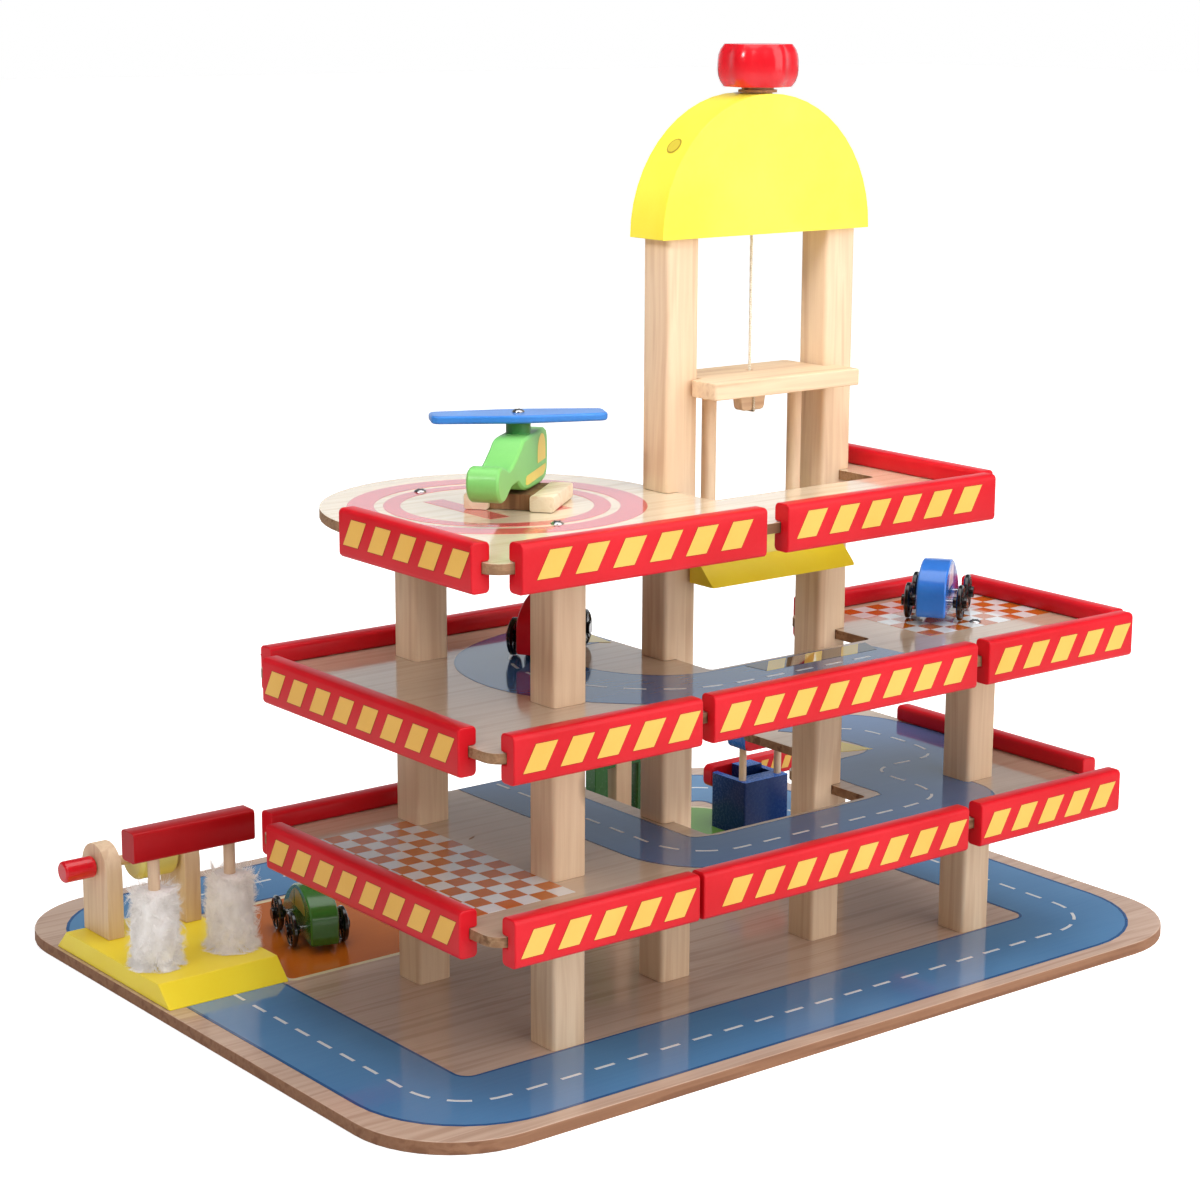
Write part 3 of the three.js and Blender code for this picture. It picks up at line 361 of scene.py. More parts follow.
def clean_mesh(node, name):
    """The node's surface as merged, flat-sided faces, so that bevels follow its true edges."""
    data = nodes[node].data
    bm = bmesh.new()
    made = [bm.verts.new(v.co) for v in data.vertices]
    for polygon in data.polygons:
        corners = [made[i] for i in polygon.vertices]
        if len(set(corners)) > 2:
            try:
                bm.faces.new(corners)
            except ValueError:
                pass
    bmesh.ops.remove_doubles(bm, verts=bm.verts, dist=2e-6)
    bmesh.ops.dissolve_degenerate(bm, edges=bm.edges, dist=1e-6)
    bmesh.ops.dissolve_limit(bm, angle_limit=math.radians(0.8), verts=bm.verts, edges=bm.edges)
    bmesh.ops.recalc_face_normals(bm, faces=bm.faces)
    return mesh_from(bm, name)


def finish_object(name, mesh, body, slot, looks, angle):
    """The mesh as an object on a body; edges sharper than the angle stay sharp."""
    for look in looks:
        mesh.materials.append(mats[look])
    mesh.polygons.foreach_set("use_smooth", [True] * len(mesh.polygons))
    mesh.set_sharp_from_angle(angle=math.radians(angle))
    made = bpy.data.objects.new(name, mesh)
    bpy.context.scene.collection.objects.link(made)
    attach(made, body)
    return made


def soften(made, width, angle, segments=2):
    """A bevel of so many millimetres along the edges that are sharper than the angle."""
    soft = made.modifiers.new("soft_edges", "BEVEL")
    soft.width = mm(width)
    soft.segments = segments
    soft.limit_method = "ANGLE"
    soft.angle_limit = math.radians(angle)
    soft.harden_normals = True


def dress(node, looks, choose=None, bevel=0.5, segments=2, angle=32.0):
    """A finished copy of a node with softened edges; choose(centre, normal) picks a face's material."""
    mesh = clean_mesh(node, node + "_finish")
    body = nodes[node]["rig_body"]
    made = finish_object(node + "_finish", mesh, body, slots.get(node), looks, angle)
    if choose:
        for polygon in mesh.polygons:
            polygon.material_index = choose(polygon.center, polygon.normal)
    soften(made, bevel, angle, segments)
    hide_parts(node)


class Mesher:
    """Collects shapes, each with its own look, into one mesh; level ones count their layers of print."""

    def __init__(self, level=0.0):
        self.level = level
        self.points, self.faces, self.kinds = [], [], []

    def face(self, corners, kind):
        """A face; kind is its place in the list of looks."""
        start = len(self.points)
        self.points.extend(Vector(c) for c in corners)
        self.faces.append(list(range(start, start + len(corners))))
        self.kinds.append(kind)

    def slab(self, outline, thickness, kind):
        """A closed slab: outline points and the same moved by thickness."""
        base = [Vector(p) for p in outline]
        top = [p + Vector(thickness) for p in base]
        start = len(self.points)
        self.points.extend(base + top)
        n = len(base)
        low, high = list(range(start, start + n)), list(range(start + n, start + 2 * n))
        self.faces.extend((low[::-1], high))
        for i in range(n):
            j = (i + 1) % n
            self.faces.append([low[i], low[j], high[j], high[i]])
        self.kinds.extend([kind] * (n + 2))

    def flat(self, outline, layers, kind):
        self.slab([(x, y, self.level) for x, y in outline], (0, 0, layers * skin), kind)

    def band(self, one, other, layers, kind, closed=False):
        """A band between two lines of as many points, open underneath."""
        z0, z1 = self.level, self.level + layers * skin
        n = len(one)
        for i in range(n if closed else n - 1):
            j = (i + 1) % n
            self.face([(*one[i], z1), (*one[j], z1), (*other[j], z1), (*other[i], z1)], kind)
            self.face([(*one[i], z0), (*one[j], z0), (*one[j], z1), (*one[i], z1)], kind)
            self.face([(*other[j], z0), (*other[i], z0), (*other[i], z1), (*other[j], z1)], kind)

    def build(self, name, body, slot, looks, bevel=0.0, angle=30.0):
        """One object of all that was collected."""
        mesh = bpy.data.meshes.new(name)
        mesh.from_pydata([tuple(p) for p in self.points], [], self.faces)
        mesh.polygons.foreach_set("material_index", self.kinds)
        bm = bmesh.new()
        bm.from_mesh(mesh)
        bmesh.ops.remove_doubles(bm, verts=bm.verts, dist=1e-7)
        bmesh.ops.recalc_face_normals(bm, faces=bm.faces)
        bm.to_mesh(mesh)
        bm.free()
        made = finish_object(name, mesh, body, slot, looks, angle)
        if bevel:
            soften(made, bevel, angle)


def tube(bm, cx, cy, heights, sides, radius):
    """Rings of vertices round an upright axis and their faces; radius(ring, angle)."""
    rings = []
    for i, z in enumerate(heights):
        ring = []
        for k in range(sides):
            a = 2 * math.pi * k / sides
            r = radius(i, a)
            ring.append(bm.verts.new((cx + r * math.cos(a), cy + r * math.sin(a), z)))
        rings.append(ring)
    for lower, upper in zip(rings, rings[1:]):
        for k in range(sides):
            j = (k + 1) % sides
            bm.faces.new((lower[k], lower[j], upper[j], upper[k]))
    return rings


def box_corners(x0, y0, x1, y1):
    return [(x0, y0), (x1, y0), (x1, y1), (x0, y1)]


# Lines
def metres(line):
    return [(x * 0.001, y * 0.001) for x, y in line]


def arc(cx, cy, radius, start, end, steps):
    """Points on an arc between two angles in degrees."""
    angles = [math.radians(start + (end - start) * i / steps) for i in range(steps + 1)]
    return [(cx + radius * math.cos(a), cy + radius * math.sin(a)) for a in angles]


def round_box(x0, y0, x1, y1, radius, steps=10):
    """A closed rectangle with round corners, from its lower left, counterclockwise, in metres."""
    corners = ((x0, y0, 180), (x1, y0, 270), (x1, y1, 0), (x0, y1, 90))
    line = []
    for x, y, start in corners:
        cx = x + radius * (1 if x == x0 else -1)
        cy = y + radius * (1 if y == y0 else -1)
        line.extend(arc(cx, cy, radius, start, start + 90, steps))
    return metres(line)


def offset_line(line, distance, closed=False):
    """The line moved to its left side by a distance."""
    points = [Vector(p) for p in line]
    out = []
    n = len(points)
    for i, p in enumerate(points):
        before = points[(i - 1) % n] if closed or i else p
        after = points[(i + 1) % n] if closed or i < n - 1 else p
        way = (after - before).normalized()
        out.append((p.x - way.y * distance, p.y + way.x * distance))
    return out


def walk(line, closed):
    """A function that gives the point at a distance along the line, and the line's length."""
    points = [Vector(p) for p in line] + ([Vector(line[0])] if closed else [])
    reach = [0.0]
    for a, b in zip(points, points[1:]):
        reach.append(reach[-1] + (b - a).length)

    def at(s):
        for i in range(len(points) - 1):
            if s <= reach[i + 1] or i == len(points) - 2:
                share = (s - reach[i]) / max(reach[i + 1] - reach[i], 1e-9)
                return points[i].lerp(points[i + 1], share)

    return at, reach[-1]


def dashes(m, line, dash, gap, width, kind, closed=False, start=0.0):
    """Dashes of a length and width with gaps between them, bent along the line."""
    at, total = walk(line, closed)
    s = start
    while s + dash <= total:
        middle = [at(s + dash * i / 3) for i in range(4)]
        m.band(offset_line(middle, width / 2), offset_line(middle, -width / 2), 2, kind)
        s += dash + gap


def smooth_line(points, steps):
    """A Catmull-Rom line through points."""
    points = [Vector(p) for p in points]
    line = []
    for i in range(len(points) - 1):
        p0, p1, p2, p3 = (points[min(max(k, 0), len(points) - 1)] for k in range(i - 1, i + 3))
        for k in range(steps):
            t = k / steps
            line.append(tuple(0.5 * (2 * p1 + (p2 - p0) * t + (2 * p0 - 5 * p1 + 4 * p2 - p3) * t * t
                                     + (3 * p1 - p0 - 3 * p2 + p3) * t ** 3)))
    return line + [tuple(points[-1])]


def side_or_top(centre, normal):
    return 0 if normal.z > 0.9 else 1


# Base board and its print
dress("base_board", ["base_top", "board_edge"], side_or_top, bevel=0.8)


def base_print():
    """The ring road with its dashes, and the orange and the green area."""
    ROAD, LINE, DASH, ORANGE, GREEN, CREAM = range(6)
    m = Mesher(tops[0])
    outer = round_box(-268.3, -212.5, 268, 212.5, 67)
    inner = round_box(-206.4, -150.5, 204.6, 150.5, 8)
    m.band(outer, inner, 1, ROAD, closed=True)
    for edge, width in ((outer, mm(1.8)), (inner, mm(-1.6))):
        m.band(edge, offset_line(edge, width, True), 1.5, LINE, closed=True)
    centre = round_box(-238, -181.6, 236.5, 181.6, 37)
    dashes(m, centre, mm(12.6), mm(9.2), mm(1.9), DASH, closed=True, start=mm(4))
    for kind, box, radius in ((ORANGE, (-203.5, 21, -98, 148.5), 6), (GREEN, (118, 52, 202, 148.5), 30)):
        edge = round_box(*box, radius, 8)
        m.flat(edge, 1, CREAM)
        m.flat(offset_line(edge, mm(3), True), 1.6, kind)
    m.build("base_print", "garage", "printed_plywood",
            ["road", "road_line", "dash", "orange", "print_green", "print_cream"])


base_print()


# Decks and their prints
for node, top in (("deck_lower", "deck_top"), ("deck_middle", "deck_top"), ("deck_upper", "pad_top")):
    dress(node, [top, "edge"], side_or_top, bevel=0.35)

EDGE_LINE = mm(1.1)
DECK_DASH = mm(12), mm(9), mm(1.6)  # length, gap and width
CHECK = 10.9  # side of a check, in millimetres


def checks(m, x0, y0, columns, rows, kinds):
    """A board of squares in two colours."""
    for i in range(columns):
        for j in range(rows):
            a, b = x0 + i * CHECK, y0 + j * CHECK
            m.flat(metres(box_corners(a, b, a + CHECK, b + CHECK)), 1, kinds[(i + j) % 2])


def lower_print():
    """The road in an S, the checks, a mark and an arrow."""
    ROAD, LINE, DASH, ORANGE, WHITE, YELLOW, MARK = range(7)
    m = Mesher(tops[1])
    outer_bend = smooth_line([
        (132, -187), (146, -178), (154, -164), (156, -149), (158, -134), (170, -126), (184, -121),
        (198, -113), (209, -99), (215.5, -82), (217.6, -60), (216.4, -37), (212, -14), (200, 4),
        (180, 14), (160, 17)], 4)
    inner_bend = smooth_line([
        (139, 0), (150, -16), (156, -36), (157, -58), (148, -67), (126, -69), (110, -76), (100, -90),
        (97, -108), (97, -132)], 4)
    outer = ([(-91, 17), (-91, -60)] + arc(-37, -136, 54, 180, 270, 10) + [(60, -190), (112, -190)]
             + outer_bend)
    inner = (inner_bend + [(95, -137), (84, -138.5), (-28, -138.5)] + arc(-37, -130, 6, 270, 180, 4)
             + [(-43, -60), (-43, 17)])
    edge = metres(outer + inner)
    m.flat(edge, 1, ROAD)
    m.band(edge, offset_line(edge, EDGE_LINE, True), 1.4, LINE, closed=True)
    middle_bend = smooth_line([
        (104, -162), (116, -157), (123, -147), (125.5, -132), (125.5, -114), (130, -101), (142, -96.5),
        (158, -97), (173, -95.5), (182, -86), (185, -70), (185, -46), (182, -29), (173, -18), (158, -9)], 5)
    path = metres([(-67, 17), (-67, -60), (-67, -100)] + arc(-32, -128, 35, 180, 270, 8)
                  + [(40, -163), (90, -163)] + middle_bend)
    dashes(m, path, *DECK_DASH, DASH, start=mm(5))
    checks(m, -214, -168, 6, 14, (ORANGE, WHITE))
    mark = metres([(-140.5, -63.5), (-137, -62.6), (-134.5, -60.2), (-138, -61.4)])
    m.flat(mark, 1.5, MARK)
    arrow = metres([(153, -41), (138, -58), (158, -65)])
    m.flat(arrow, 1.7, YELLOW)
    m.build("lower_deck_print", "garage", "printed_plywood",
            ["deck_road", "road_line", "dash", "orange", "dash", "print_yellow", "bar_shade_brown"])


def middle_print():
    """The curved road with its hazard blocks, an arrow and the checks."""
    ROAD, LINE, DASH, ORANGE, WHITE, YELLOW, GREY = range(7)
    m = Mesher(tops[2])
    outer = smooth_line([
        (-33, 4), (-66, 0), (-100, -12), (-124, -29), (-141, -54), (-148, -84), (-146, -110), (-136, -134),
        (-119, -158), (-92, -180), (-60, -190), (-30, -192), (20, -192), (70, -190), (78, -176)], 4)
    inner = smooth_line([
        (-33, -50), (-56, -51), (-68, -56), (-78, -66), (-83, -80), (-82, -94), (-78, -106), (-71, -118),
        (-62, -128), (-52, -134), (-44, -137), (-32, -138), (20, -138), (66, -140), (75, -152)], 4)
    outer, inner = metres(outer), metres(inner)
    m.band(outer, inner, 1, ROAD)
    for edge, width in ((outer, EDGE_LINE), (inner, -EDGE_LINE)):
        m.band(edge, offset_line(edge, width), 1.4, LINE)
    centre = [tuple((Vector(a) + Vector(b)) / 2) for a, b in zip(outer, inner)]
    dashes(m, centre[:-2], *DECK_DASH, DASH, start=mm(6))
    front, back, lean, end = -155.5, -140, 15, 77
    m.flat(metres([(-12, back), (5, back), (-10, front)]), 2.2, GREY)
    for x in (-10, 17, 44):
        for a, b, kind in ((x, x + 12.5, YELLOW), (x + 12.5, x + 27, GREY)):
            block = [(a, front), (b, front), (min(b + lean, end), back), (a + lean, back)]
            m.flat(metres(block), 2.2, kind)
    arrow = metres([(-33, -30), (-36, -54), (-48, -45)])
    m.flat(arrow, 1.7, YELLOW)
    checks(m, 118, -150, 9, 7, (ORANGE, WHITE))
    m.build("middle_deck_print", "garage", "printed_plywood",
            ["deck_road", "road_line", "dash", "orange", "dash", "print_yellow", "print_grey"])


def upper_print():
    """The helipad's two rings and its H."""
    m = Mesher(tops[3])
    cx, cy = -131.4, -78
    for far, near in ((78.5, 64.4), (59.5, 50.6)):
        outer, inner = (metres(arc(cx, cy, radius, 0, 360, 96)[:-1]) for radius in (far, near))
        m.band(outer, inner, 1, 0, closed=True)
    for box in ((-26, -30, -14, 30), (14, -30, 26, 30), (-14, -6, 14, 6)):
        bar = [(cx + x, cy + y) for x, y in box_corners(*box)]
        m.flat(metres(bar), 1, 0)
    m.build("upper_deck_print", "garage", "printed_plywood", ["ring_red"])


lower_print()
middle_print()
upper_print()


# Posts, tower and lift
for node in nodes:
    if node.startswith(("post_", "tower_post")):
        dress(node, ["pine_z"], bevel=0.3)
dress("tower_roof", ["yellow"], bevel=1.1, segments=3)
knob_low, knob_neck = mm(496.7), mm(493.2)  # where the knob's paint and its neck, in a darker wood than the pine below, begin
lift_floor_top = mm(246.2)
dress("winch_knob", ["knob_red", "neck", "pine_z"],
      lambda c, n: 0 if c.z > knob_low else (1 if c.z > knob_neck else 2), bevel=1.8, segments=3, angle=40)
dress("lift_floor", ["wash_yellow", "pine_z"], lambda c, n: 1 if c.z > lift_floor_top else 0, bevel=0.8)
dress("lift_top_board", ["pine_x"], bevel=0.6)
dress("lift_toggle", ["pine_x"], bevel=0.8)


def roof_plug():
    """A wooden plug let into the roof's round side, its face following the roof's curve."""
    low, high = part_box("tower_roof")
    radius = (high.x - low.x) / 2
    axis_x, axis_z = (low.x + high.x) / 2, high.z - radius
    middle, along, half, proud = math.radians(50), mm(-97), mm(4.8), mm(0.25)
    sides = 28
    m = Mesher()
    for reach, rise, kind in ((1.0, 0.5, 0), (0.82, 1.0, 1)):
        r = radius + proud * rise
        rows = []
        for share in (0.0, 0.35, 0.7, 1.0):
            out = half * reach * share
            row = []
            for k in range(sides):
                turn = 2 * math.pi * k / sides
                angle = middle + out * math.sin(turn) / radius
                row.append(Vector((axis_x - r * math.sin(angle), along + out * math.cos(turn),
                                   axis_z + r * math.cos(angle))))
            rows.append(row)
        for inner, outer in zip(rows, rows[1:]):
            for k in range(sides):
                j = (k + 1) % sides
                if inner is rows[0]:
                    m.face([inner[0], outer[j], outer[k]], kind)
                else:
                    m.face([inner[k], inner[j], outer[j], outer[k]], kind)
    m.build("roof_plug", "garage", "yellow_paint", ["plug_rim", "plug"])


def toggle_string():
    """The string's loop round the toggle: along both sides and underneath."""
    low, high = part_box("lift_toggle")
    x = (low.x + high.x) / 2
    half, thick = mm(0.7), mm(0.9)
    m = Mesher()
    for y, out in ((low.y, -1), (high.y, 1)):
        side = [(px, y, pz) for px, pz in box_corners(x - half, low.z, x + half, high.z)]
        m.slab(side, (0, out * thick, 0), 0)
    front, back = low.y - thick, high.y + thick
    under = [(px, py, low.z) for px, py in box_corners(x - half, front, x + half, back)]
    m.slab(under, (0, 0, -thick), 0)
    m.build("toggle_string", "lift", "string", ["string"], bevel=0.35)


roof_plug()
toggle_string()


# Rails
for node in nodes:
    if node.startswith("rail_"):
        dress(node, ["red"], bevel=0.9, segments=3, angle=40)

deck_middles = {deck: top - mm(2.75) for deck, top in zip(("lower", "middle", "upper"), tops[1:])}
# Rail, then in millimetres: first stripe, pitch, number, and their lower edge over the deck's middle
stripe_rows = [
    ("lower_front_1", -213.0, 22.4, 5, -7.3),
    ("lower_front_2", -85.1, 22.3, 8, -7.3),
    ("lower_front_3", 105.8, 21.6, 5, -7.3),
    ("middle_front_1", -211.6, 22.4, 5, -6.8),
    ("middle_front_2", -88.2, 22.6, 8, -6.8),
    ("middle_front_3", 109.5, 22.3, 5, -6.8),
    ("upper_front_1", -203.2, 22.8, 6, -5.5),
    ("upper_front_2", -38.6, 22.4, 6, -5.5),
    ("lower_left", -4.0, 21.9, 8, -7.0),
    ("middle_left", -3.8, 21.9, 8, -6.6),
    ("upper_left", -82.5, 22.0, 5, -5.6),
    ("lower_right", -176.0, 21.9, 7, -7.0),
    ("middle_right", -176.0, 21.9, 5, -6.8),
    ("upper_right", -188.0, 21.9, 5, -5.6),
    ("lower_back", -112.0, 21.9, 4, -7.0),
    ("middle_back_left", -41.0, 21.9, 8, -6.8),
    ("middle_back_right", 210.0, 21.9, 4, -6.8),
]
# Each side's direction from the first stripe to the last, and outwards
ways = {
    "front": ((1, 0, 0), (0, -1, 0)),
    "left": ((0, -1, 0), (-1, 0, 0)),
    "right": ((0, 1, 0), (1, 0, 0)),
    "back": ((-1, 0, 0), (0, 1, 0)),
}


def rail_stripes():
    """Leaning stripes on the rails' outer faces, each on a larger dark rim."""
    m = Mesher()
    wide, high, lean, rim = mm(13.2), mm(13.7), mm(7.7), mm(0.3)
    for name, start, pitch, count, low in stripe_rows:
        deck, side = name.split("_")[:2]
        along, out = (Vector(v) for v in ways[side])
        low_corner, high_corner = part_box("rail_" + name)
        face = low_corner if side in ("front", "left") else high_corner
        z = deck_middles[deck] + mm(low)
        for i in range(count):
            s = mm(start) + (along.x + along.y) * mm(pitch) * i
            corner = Vector((s, face.y, z) if side in ("front", "back") else (face.x, s, z))
            for grow, depth, kind in ((rim, mm(0.10), 1), (0.0, mm(0.16), 0)):
                bottom, top = -Vector((0, 0, grow)), Vector((0, 0, high + grow))
                m.slab([corner - along * grow + bottom, corner + along * (wide + grow) + bottom,
                        corner + along * (wide + lean + grow) + top, corner + along * (lean - grow) + top],
                       out * depth, kind)
    m.build("rail_stripes", "garage", "red_paint", ["stripe", "stripe_rim"])


rail_stripes()


# Car wash
dress("wash_base", ["wash_yellow"], bevel=0.7)
for side in ("left", "right"):
    dress("wash_board_" + side, ["pine_z"], bevel=0.5)
crank_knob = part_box("wash_board_left")[0].x - mm(0.8)
dress("wash_crank", ["knob_red", "pine_x"], lambda c, n: 0 if c.x < crank_knob else 1, bevel=0.6, segments=3)
dress("wash_roller", ["cream"], bevel=0.5)
beam_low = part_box("wash_beam")[1].z - mm(17.6)
dress("wash_beam", ["beam_red", "pine_z"], lambda c, n: 0 if c.z > beam_low else 1, bevel=0.7)


def pile_core(bm, cx, cy, full, low, high, seed, pick):
    """The lumpy middle of a brush, thinner towards both ends."""
    rows, turns = 26, 40

    def radius(i, a):
        share = i / rows
        belly = 0.80 + 0.08 * math.sin(math.pi * share) - 0.16 * (abs(2 * share - 1) ** 6)
        lump = (1 + 0.05 * math.sin(3 * a + 5 * share + seed) + 0.04 * math.sin(7 * a - 9 * share)
                + pick.uniform(-0.03, 0.03))
        return full * belly * lump

    heights = [low + mm(1.5) + (high - low - mm(3)) * i / rows for i in range(rows + 1)]
    rings = tube(bm, cx, cy, heights, turns, radius)
    for row, z in ((rings[0], low + mm(1.2)), (rings[-1], high - mm(1.2))):
        centre = bm.verts.new((cx, cy, z))
        for k in range(turns):
            bm.faces.new((row[k], row[(k + 1) % turns], centre))


def pile_tufts(full, pick):
    """Each strand's angle, share of the height, length, drift and rise; many strands are in clumps."""
    strands, clumps, hairs = ((8000, 260, 22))
    tufts = [(pick.uniform(0, 2 * math.pi), pick.random(), full * pick.uniform(0.24, 0.44),
              pick.gauss(0, 0.35), pick.gauss(0.05, 0.45)) for _ in range(strands)]
    for number in range(clumps):
        a, share = pick.uniform(0, 2 * math.pi), pick.random() ** 1.6
        if number % 3 == 0:
            share = 0.05 * pick.random()
        reach, drift, rise = full * pick.uniform(0.45, 0.72), pick.gauss(0, 0.5), pick.gauss(-0.1, 0.6)
        tufts.extend((a + pick.gauss(0, 0.05), min(max(share + pick.gauss(0, 0.008), 0), 1),
                      reach * pick.uniform(0.8, 1.05), drift + pick.gauss(0, 0.12),
                      rise + pick.gauss(0, 0.12)) for _ in range(hairs))
    return tufts


def brush(side, look, seed):
    """A sleeve of long pile: a lumpy core under many thin curved strands."""
    low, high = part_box("wash_brush_" + side)
    cx, cy = (low.x + high.x) / 2, (low.y + high.y) / 2
    full = (high.x - low.x) / 2
    root, limit, joints = full * 0.70, full * 1.3, 4
    pick = random.Random(seed)
    bm = bmesh.new()
    pile_core(bm, cx, cy, full, low.z, high.z, seed, pick)
    for a, share, length, drift, rise in pile_tufts(full, pick):
        z = low.z + mm(1) + (high.z - low.z - mm(2)) * share
        rise += (0.5 if share > 0.93 else 0) - (0.5 if share < 0.06 else 0)
        half = mm(pick.uniform(0.08, 0.2))
        line = []
        for k in range(joints + 1):
            t = k / joints
            r = min(root + length * t * (1.05 - 0.25 * t), limit)
            b = a + drift * t * t * 0.5
            height = min(max(z + rise * length * t * t, low.z + mm(0.3)), high.z + mm(4))
            line.append(Vector((cx + r * math.cos(b), cy + r * math.sin(b), height)))
        across = Vector((-math.sin(a), math.cos(a), pick.uniform(-1, 1))).normalized()
        last = None
        for k, p in enumerate(line[:-1]):
            w = across * half * (1 - k / (joints + 1))
            pair = (bm.verts.new(p - w), bm.verts.new(p + w))
            if last:
                bm.faces.new((last[0], last[1], pair[1], pair[0]))
            last = pair
        bm.faces.new((last[0], last[1], bm.verts.new(line[-1])))
    mesh = mesh_from(bm, "brush_pile_" + side)
    made = finish_object("brush_pile_" + side, mesh, "brush_" + side, "brush_pile", [look], 60)
    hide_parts("wash_brush_" + side)


brush("left", "fur_white", 11)
brush("right", "fur_grey", 23)


# Fuel station and service frame
rim_level = mm(43.2)
dress("station_body", ["navy", "rim_blue"], lambda c, n: 1 if c.z > rim_level else 0, bevel=0.8, segments=3)
canopy_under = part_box("station_canopy")[1].z - mm(12.3)
dress("station_canopy", ["rim_blue", "red", "pine_z"],
      lambda c, n: 2 if c.z < canopy_under and abs(n.z) < 0.9 else (0 if n.x < -0.3 else 1), bevel=0.6)
station_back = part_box("station_body")[1].y
dress("barrier_arm", ["red", "steel"], lambda c, n: 0 if c.y > station_back + mm(0.3) else 1,
      bevel=0.8, segments=3)
post_x, post_half, post_low, post_high = mm(63.1), mm(6.2), mm(17), mm(77)
dress("service_frame", ["frame_green", "pine_z"],
      lambda c, n: 1 if abs(c.x - post_x) < post_half and post_low < c.z < post_high else 0, bevel=0.6)


def barrier_stripes():
    """Leaning stripes on both faces of the arm."""
    m = Mesher()
    low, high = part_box("barrier_arm")
    tall, wide, lean, pitch = mm(8.4), mm(6), mm(3.5), 10.5
    z0 = (high.z + low.z) / 2 - tall / 2
    z1 = z0 + tall
    for y, out in ((station_back + mm(0.5), -1), (high.y, 1)):
        for i in range(5):
            x = low.x + mm(30 + i * pitch)
            if x + mm(9) <= high.x - mm(2):
                quad = [(x, y, z0), (x + wide, y, z0), (x + wide + lean, y, z1), (x + lean, y, z1)]
                m.slab(quad, (0, out * mm(0.12), 0), 0)
    m.build("barrier_stripes", "barrier", "red_paint", ["stripe"])


barrier_stripes()


# String from the winch to the lift
def make_lift_string():
    """Three twisted strands, from the spool into the lift's top board."""
    low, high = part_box("lift_string")
    cx, cy = (low.x + high.x) / 2, (low.y + high.y) / 2
    bm = bmesh.new()
    count = 160
    heights = [low.z - mm(5) + (high.z - low.z + mm(5)) * i / count for i in range(count + 1)]
    rings = tube(bm, cx, cy, heights, 10, lambda i, a: mm(0.75) * (1 + 0.16 * math.cos(3 * a + i * 0.9)))
    for row in (rings[0][::-1], rings[-1]):
        bm.faces.new(row)
    mesh = mesh_from(bm, "lift_string_twist")
    made = finish_object("lift_string_twist", mesh, "garage", "string", ["string"], 60)
    made.parent = None
    del made["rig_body"]
    start, end = Vector((cx, cy, high.z)), Vector((cx, cy, low.z))
    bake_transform(made)
    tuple(start)
    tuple(end)
    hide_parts("lift_string")


make_lift_string()


# Loose toys
def placed(x, y, z, heading):
    """A toy's own axes, from its place in millimetres and its heading in degrees."""
    return Matrix.Translation(mm(x, y, z)) @ Matrix.Rotation(math.radians(heading), 4, "Z")


def local_slab(m, place, points, thickness, kind):
    """A slab that is given in a toy's own axes."""
    m.slab([place @ Vector(p) for p in points], place.to_3x3() @ Vector(thickness), kind)


def screw(m, place, x, y, z, radius):
    """A domed screw in the first look, its cross in the second."""
    sides = 16
    levels = ((1.0, 0.0), (0.96, 0.25), (0.75, 0.55), (0.45, 0.75))
    circle = [(math.cos(a * 2 * math.pi / sides), math.sin(a * 2 * math.pi / sides)) for a in range(sides)]
    rings = [[place @ mm(x + radius * r * ca, y + radius * r * sa, z + radius * 0.5 * h) for ca, sa in circle]
             for r, h in levels]
    for lower, upper in zip(rings, rings[1:]):
        for k in range(sides):
            j = (k + 1) % sides
            m.face([lower[k], lower[j], upper[j], upper[k]], 0)
    m.face(rings[-1], 0)
    top = z + radius * 0.38
    for w, h in ((radius * 0.62, radius * 0.13), (radius * 0.13, radius * 0.62)):
        bar = [mm(px, py, top) for px, py in box_corners(x - w, y - h, x + w, y + h)]
        local_slab(m, place, bar, (0, 0, mm(radius * 0.03)), 1)


def deck_screws():
    """Screws through the decks into the posts below."""
    m = Mesher()
    spots = ((-141.7, -22, 283.9), (-137.4, -137.5, 283.9), (163.2, -140.9, 191.6), (163.2, -18, 99.3))
    for spot in spots:
        screw(m, Matrix.Identity(4), *spot, 3.6)
    m.build("deck_screws", "garage", None, ["steel", "black"], angle=40)


deck_screws()


# Helicopter
skids_low, skids_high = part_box("helicopter_skids")
skids_middle = (skids_low + skids_high) / 2 * 1000
craft = placed(skids_middle.x, skids_middle.y, skids_low.z * 1000, 39.5)
craft_back = craft.inverted()
skid_inside, mast_low, mast_radius, blade_low = mm(10.9), mm(37.5), mm(6.6), mm(328.1)
mast = mm(-1, 0, 0)


def on_mast(centre, normal):
    p = craft_back @ centre
    return 1 if p.z > mast_low and (p - mast).xy.length < mast_radius else 0


# The skids are pale pine; the cross bar between them gets the brown that is painted shade, for the shadow
# under the body.
dress("helicopter_skids", ["skid", "bar_shade_brown"],
      lambda c, n: 0 if abs((craft_back @ c).y) > skid_inside else 1, bevel=0.5)
dress("helicopter_body", ["light_green", "mast_green"], on_mast, bevel=0.5, angle=40)
dress("helicopter_rotor", ["rotor", "steel"], lambda c, n: 0 if c.z > blade_low else 1, bevel=0.6, segments=3)


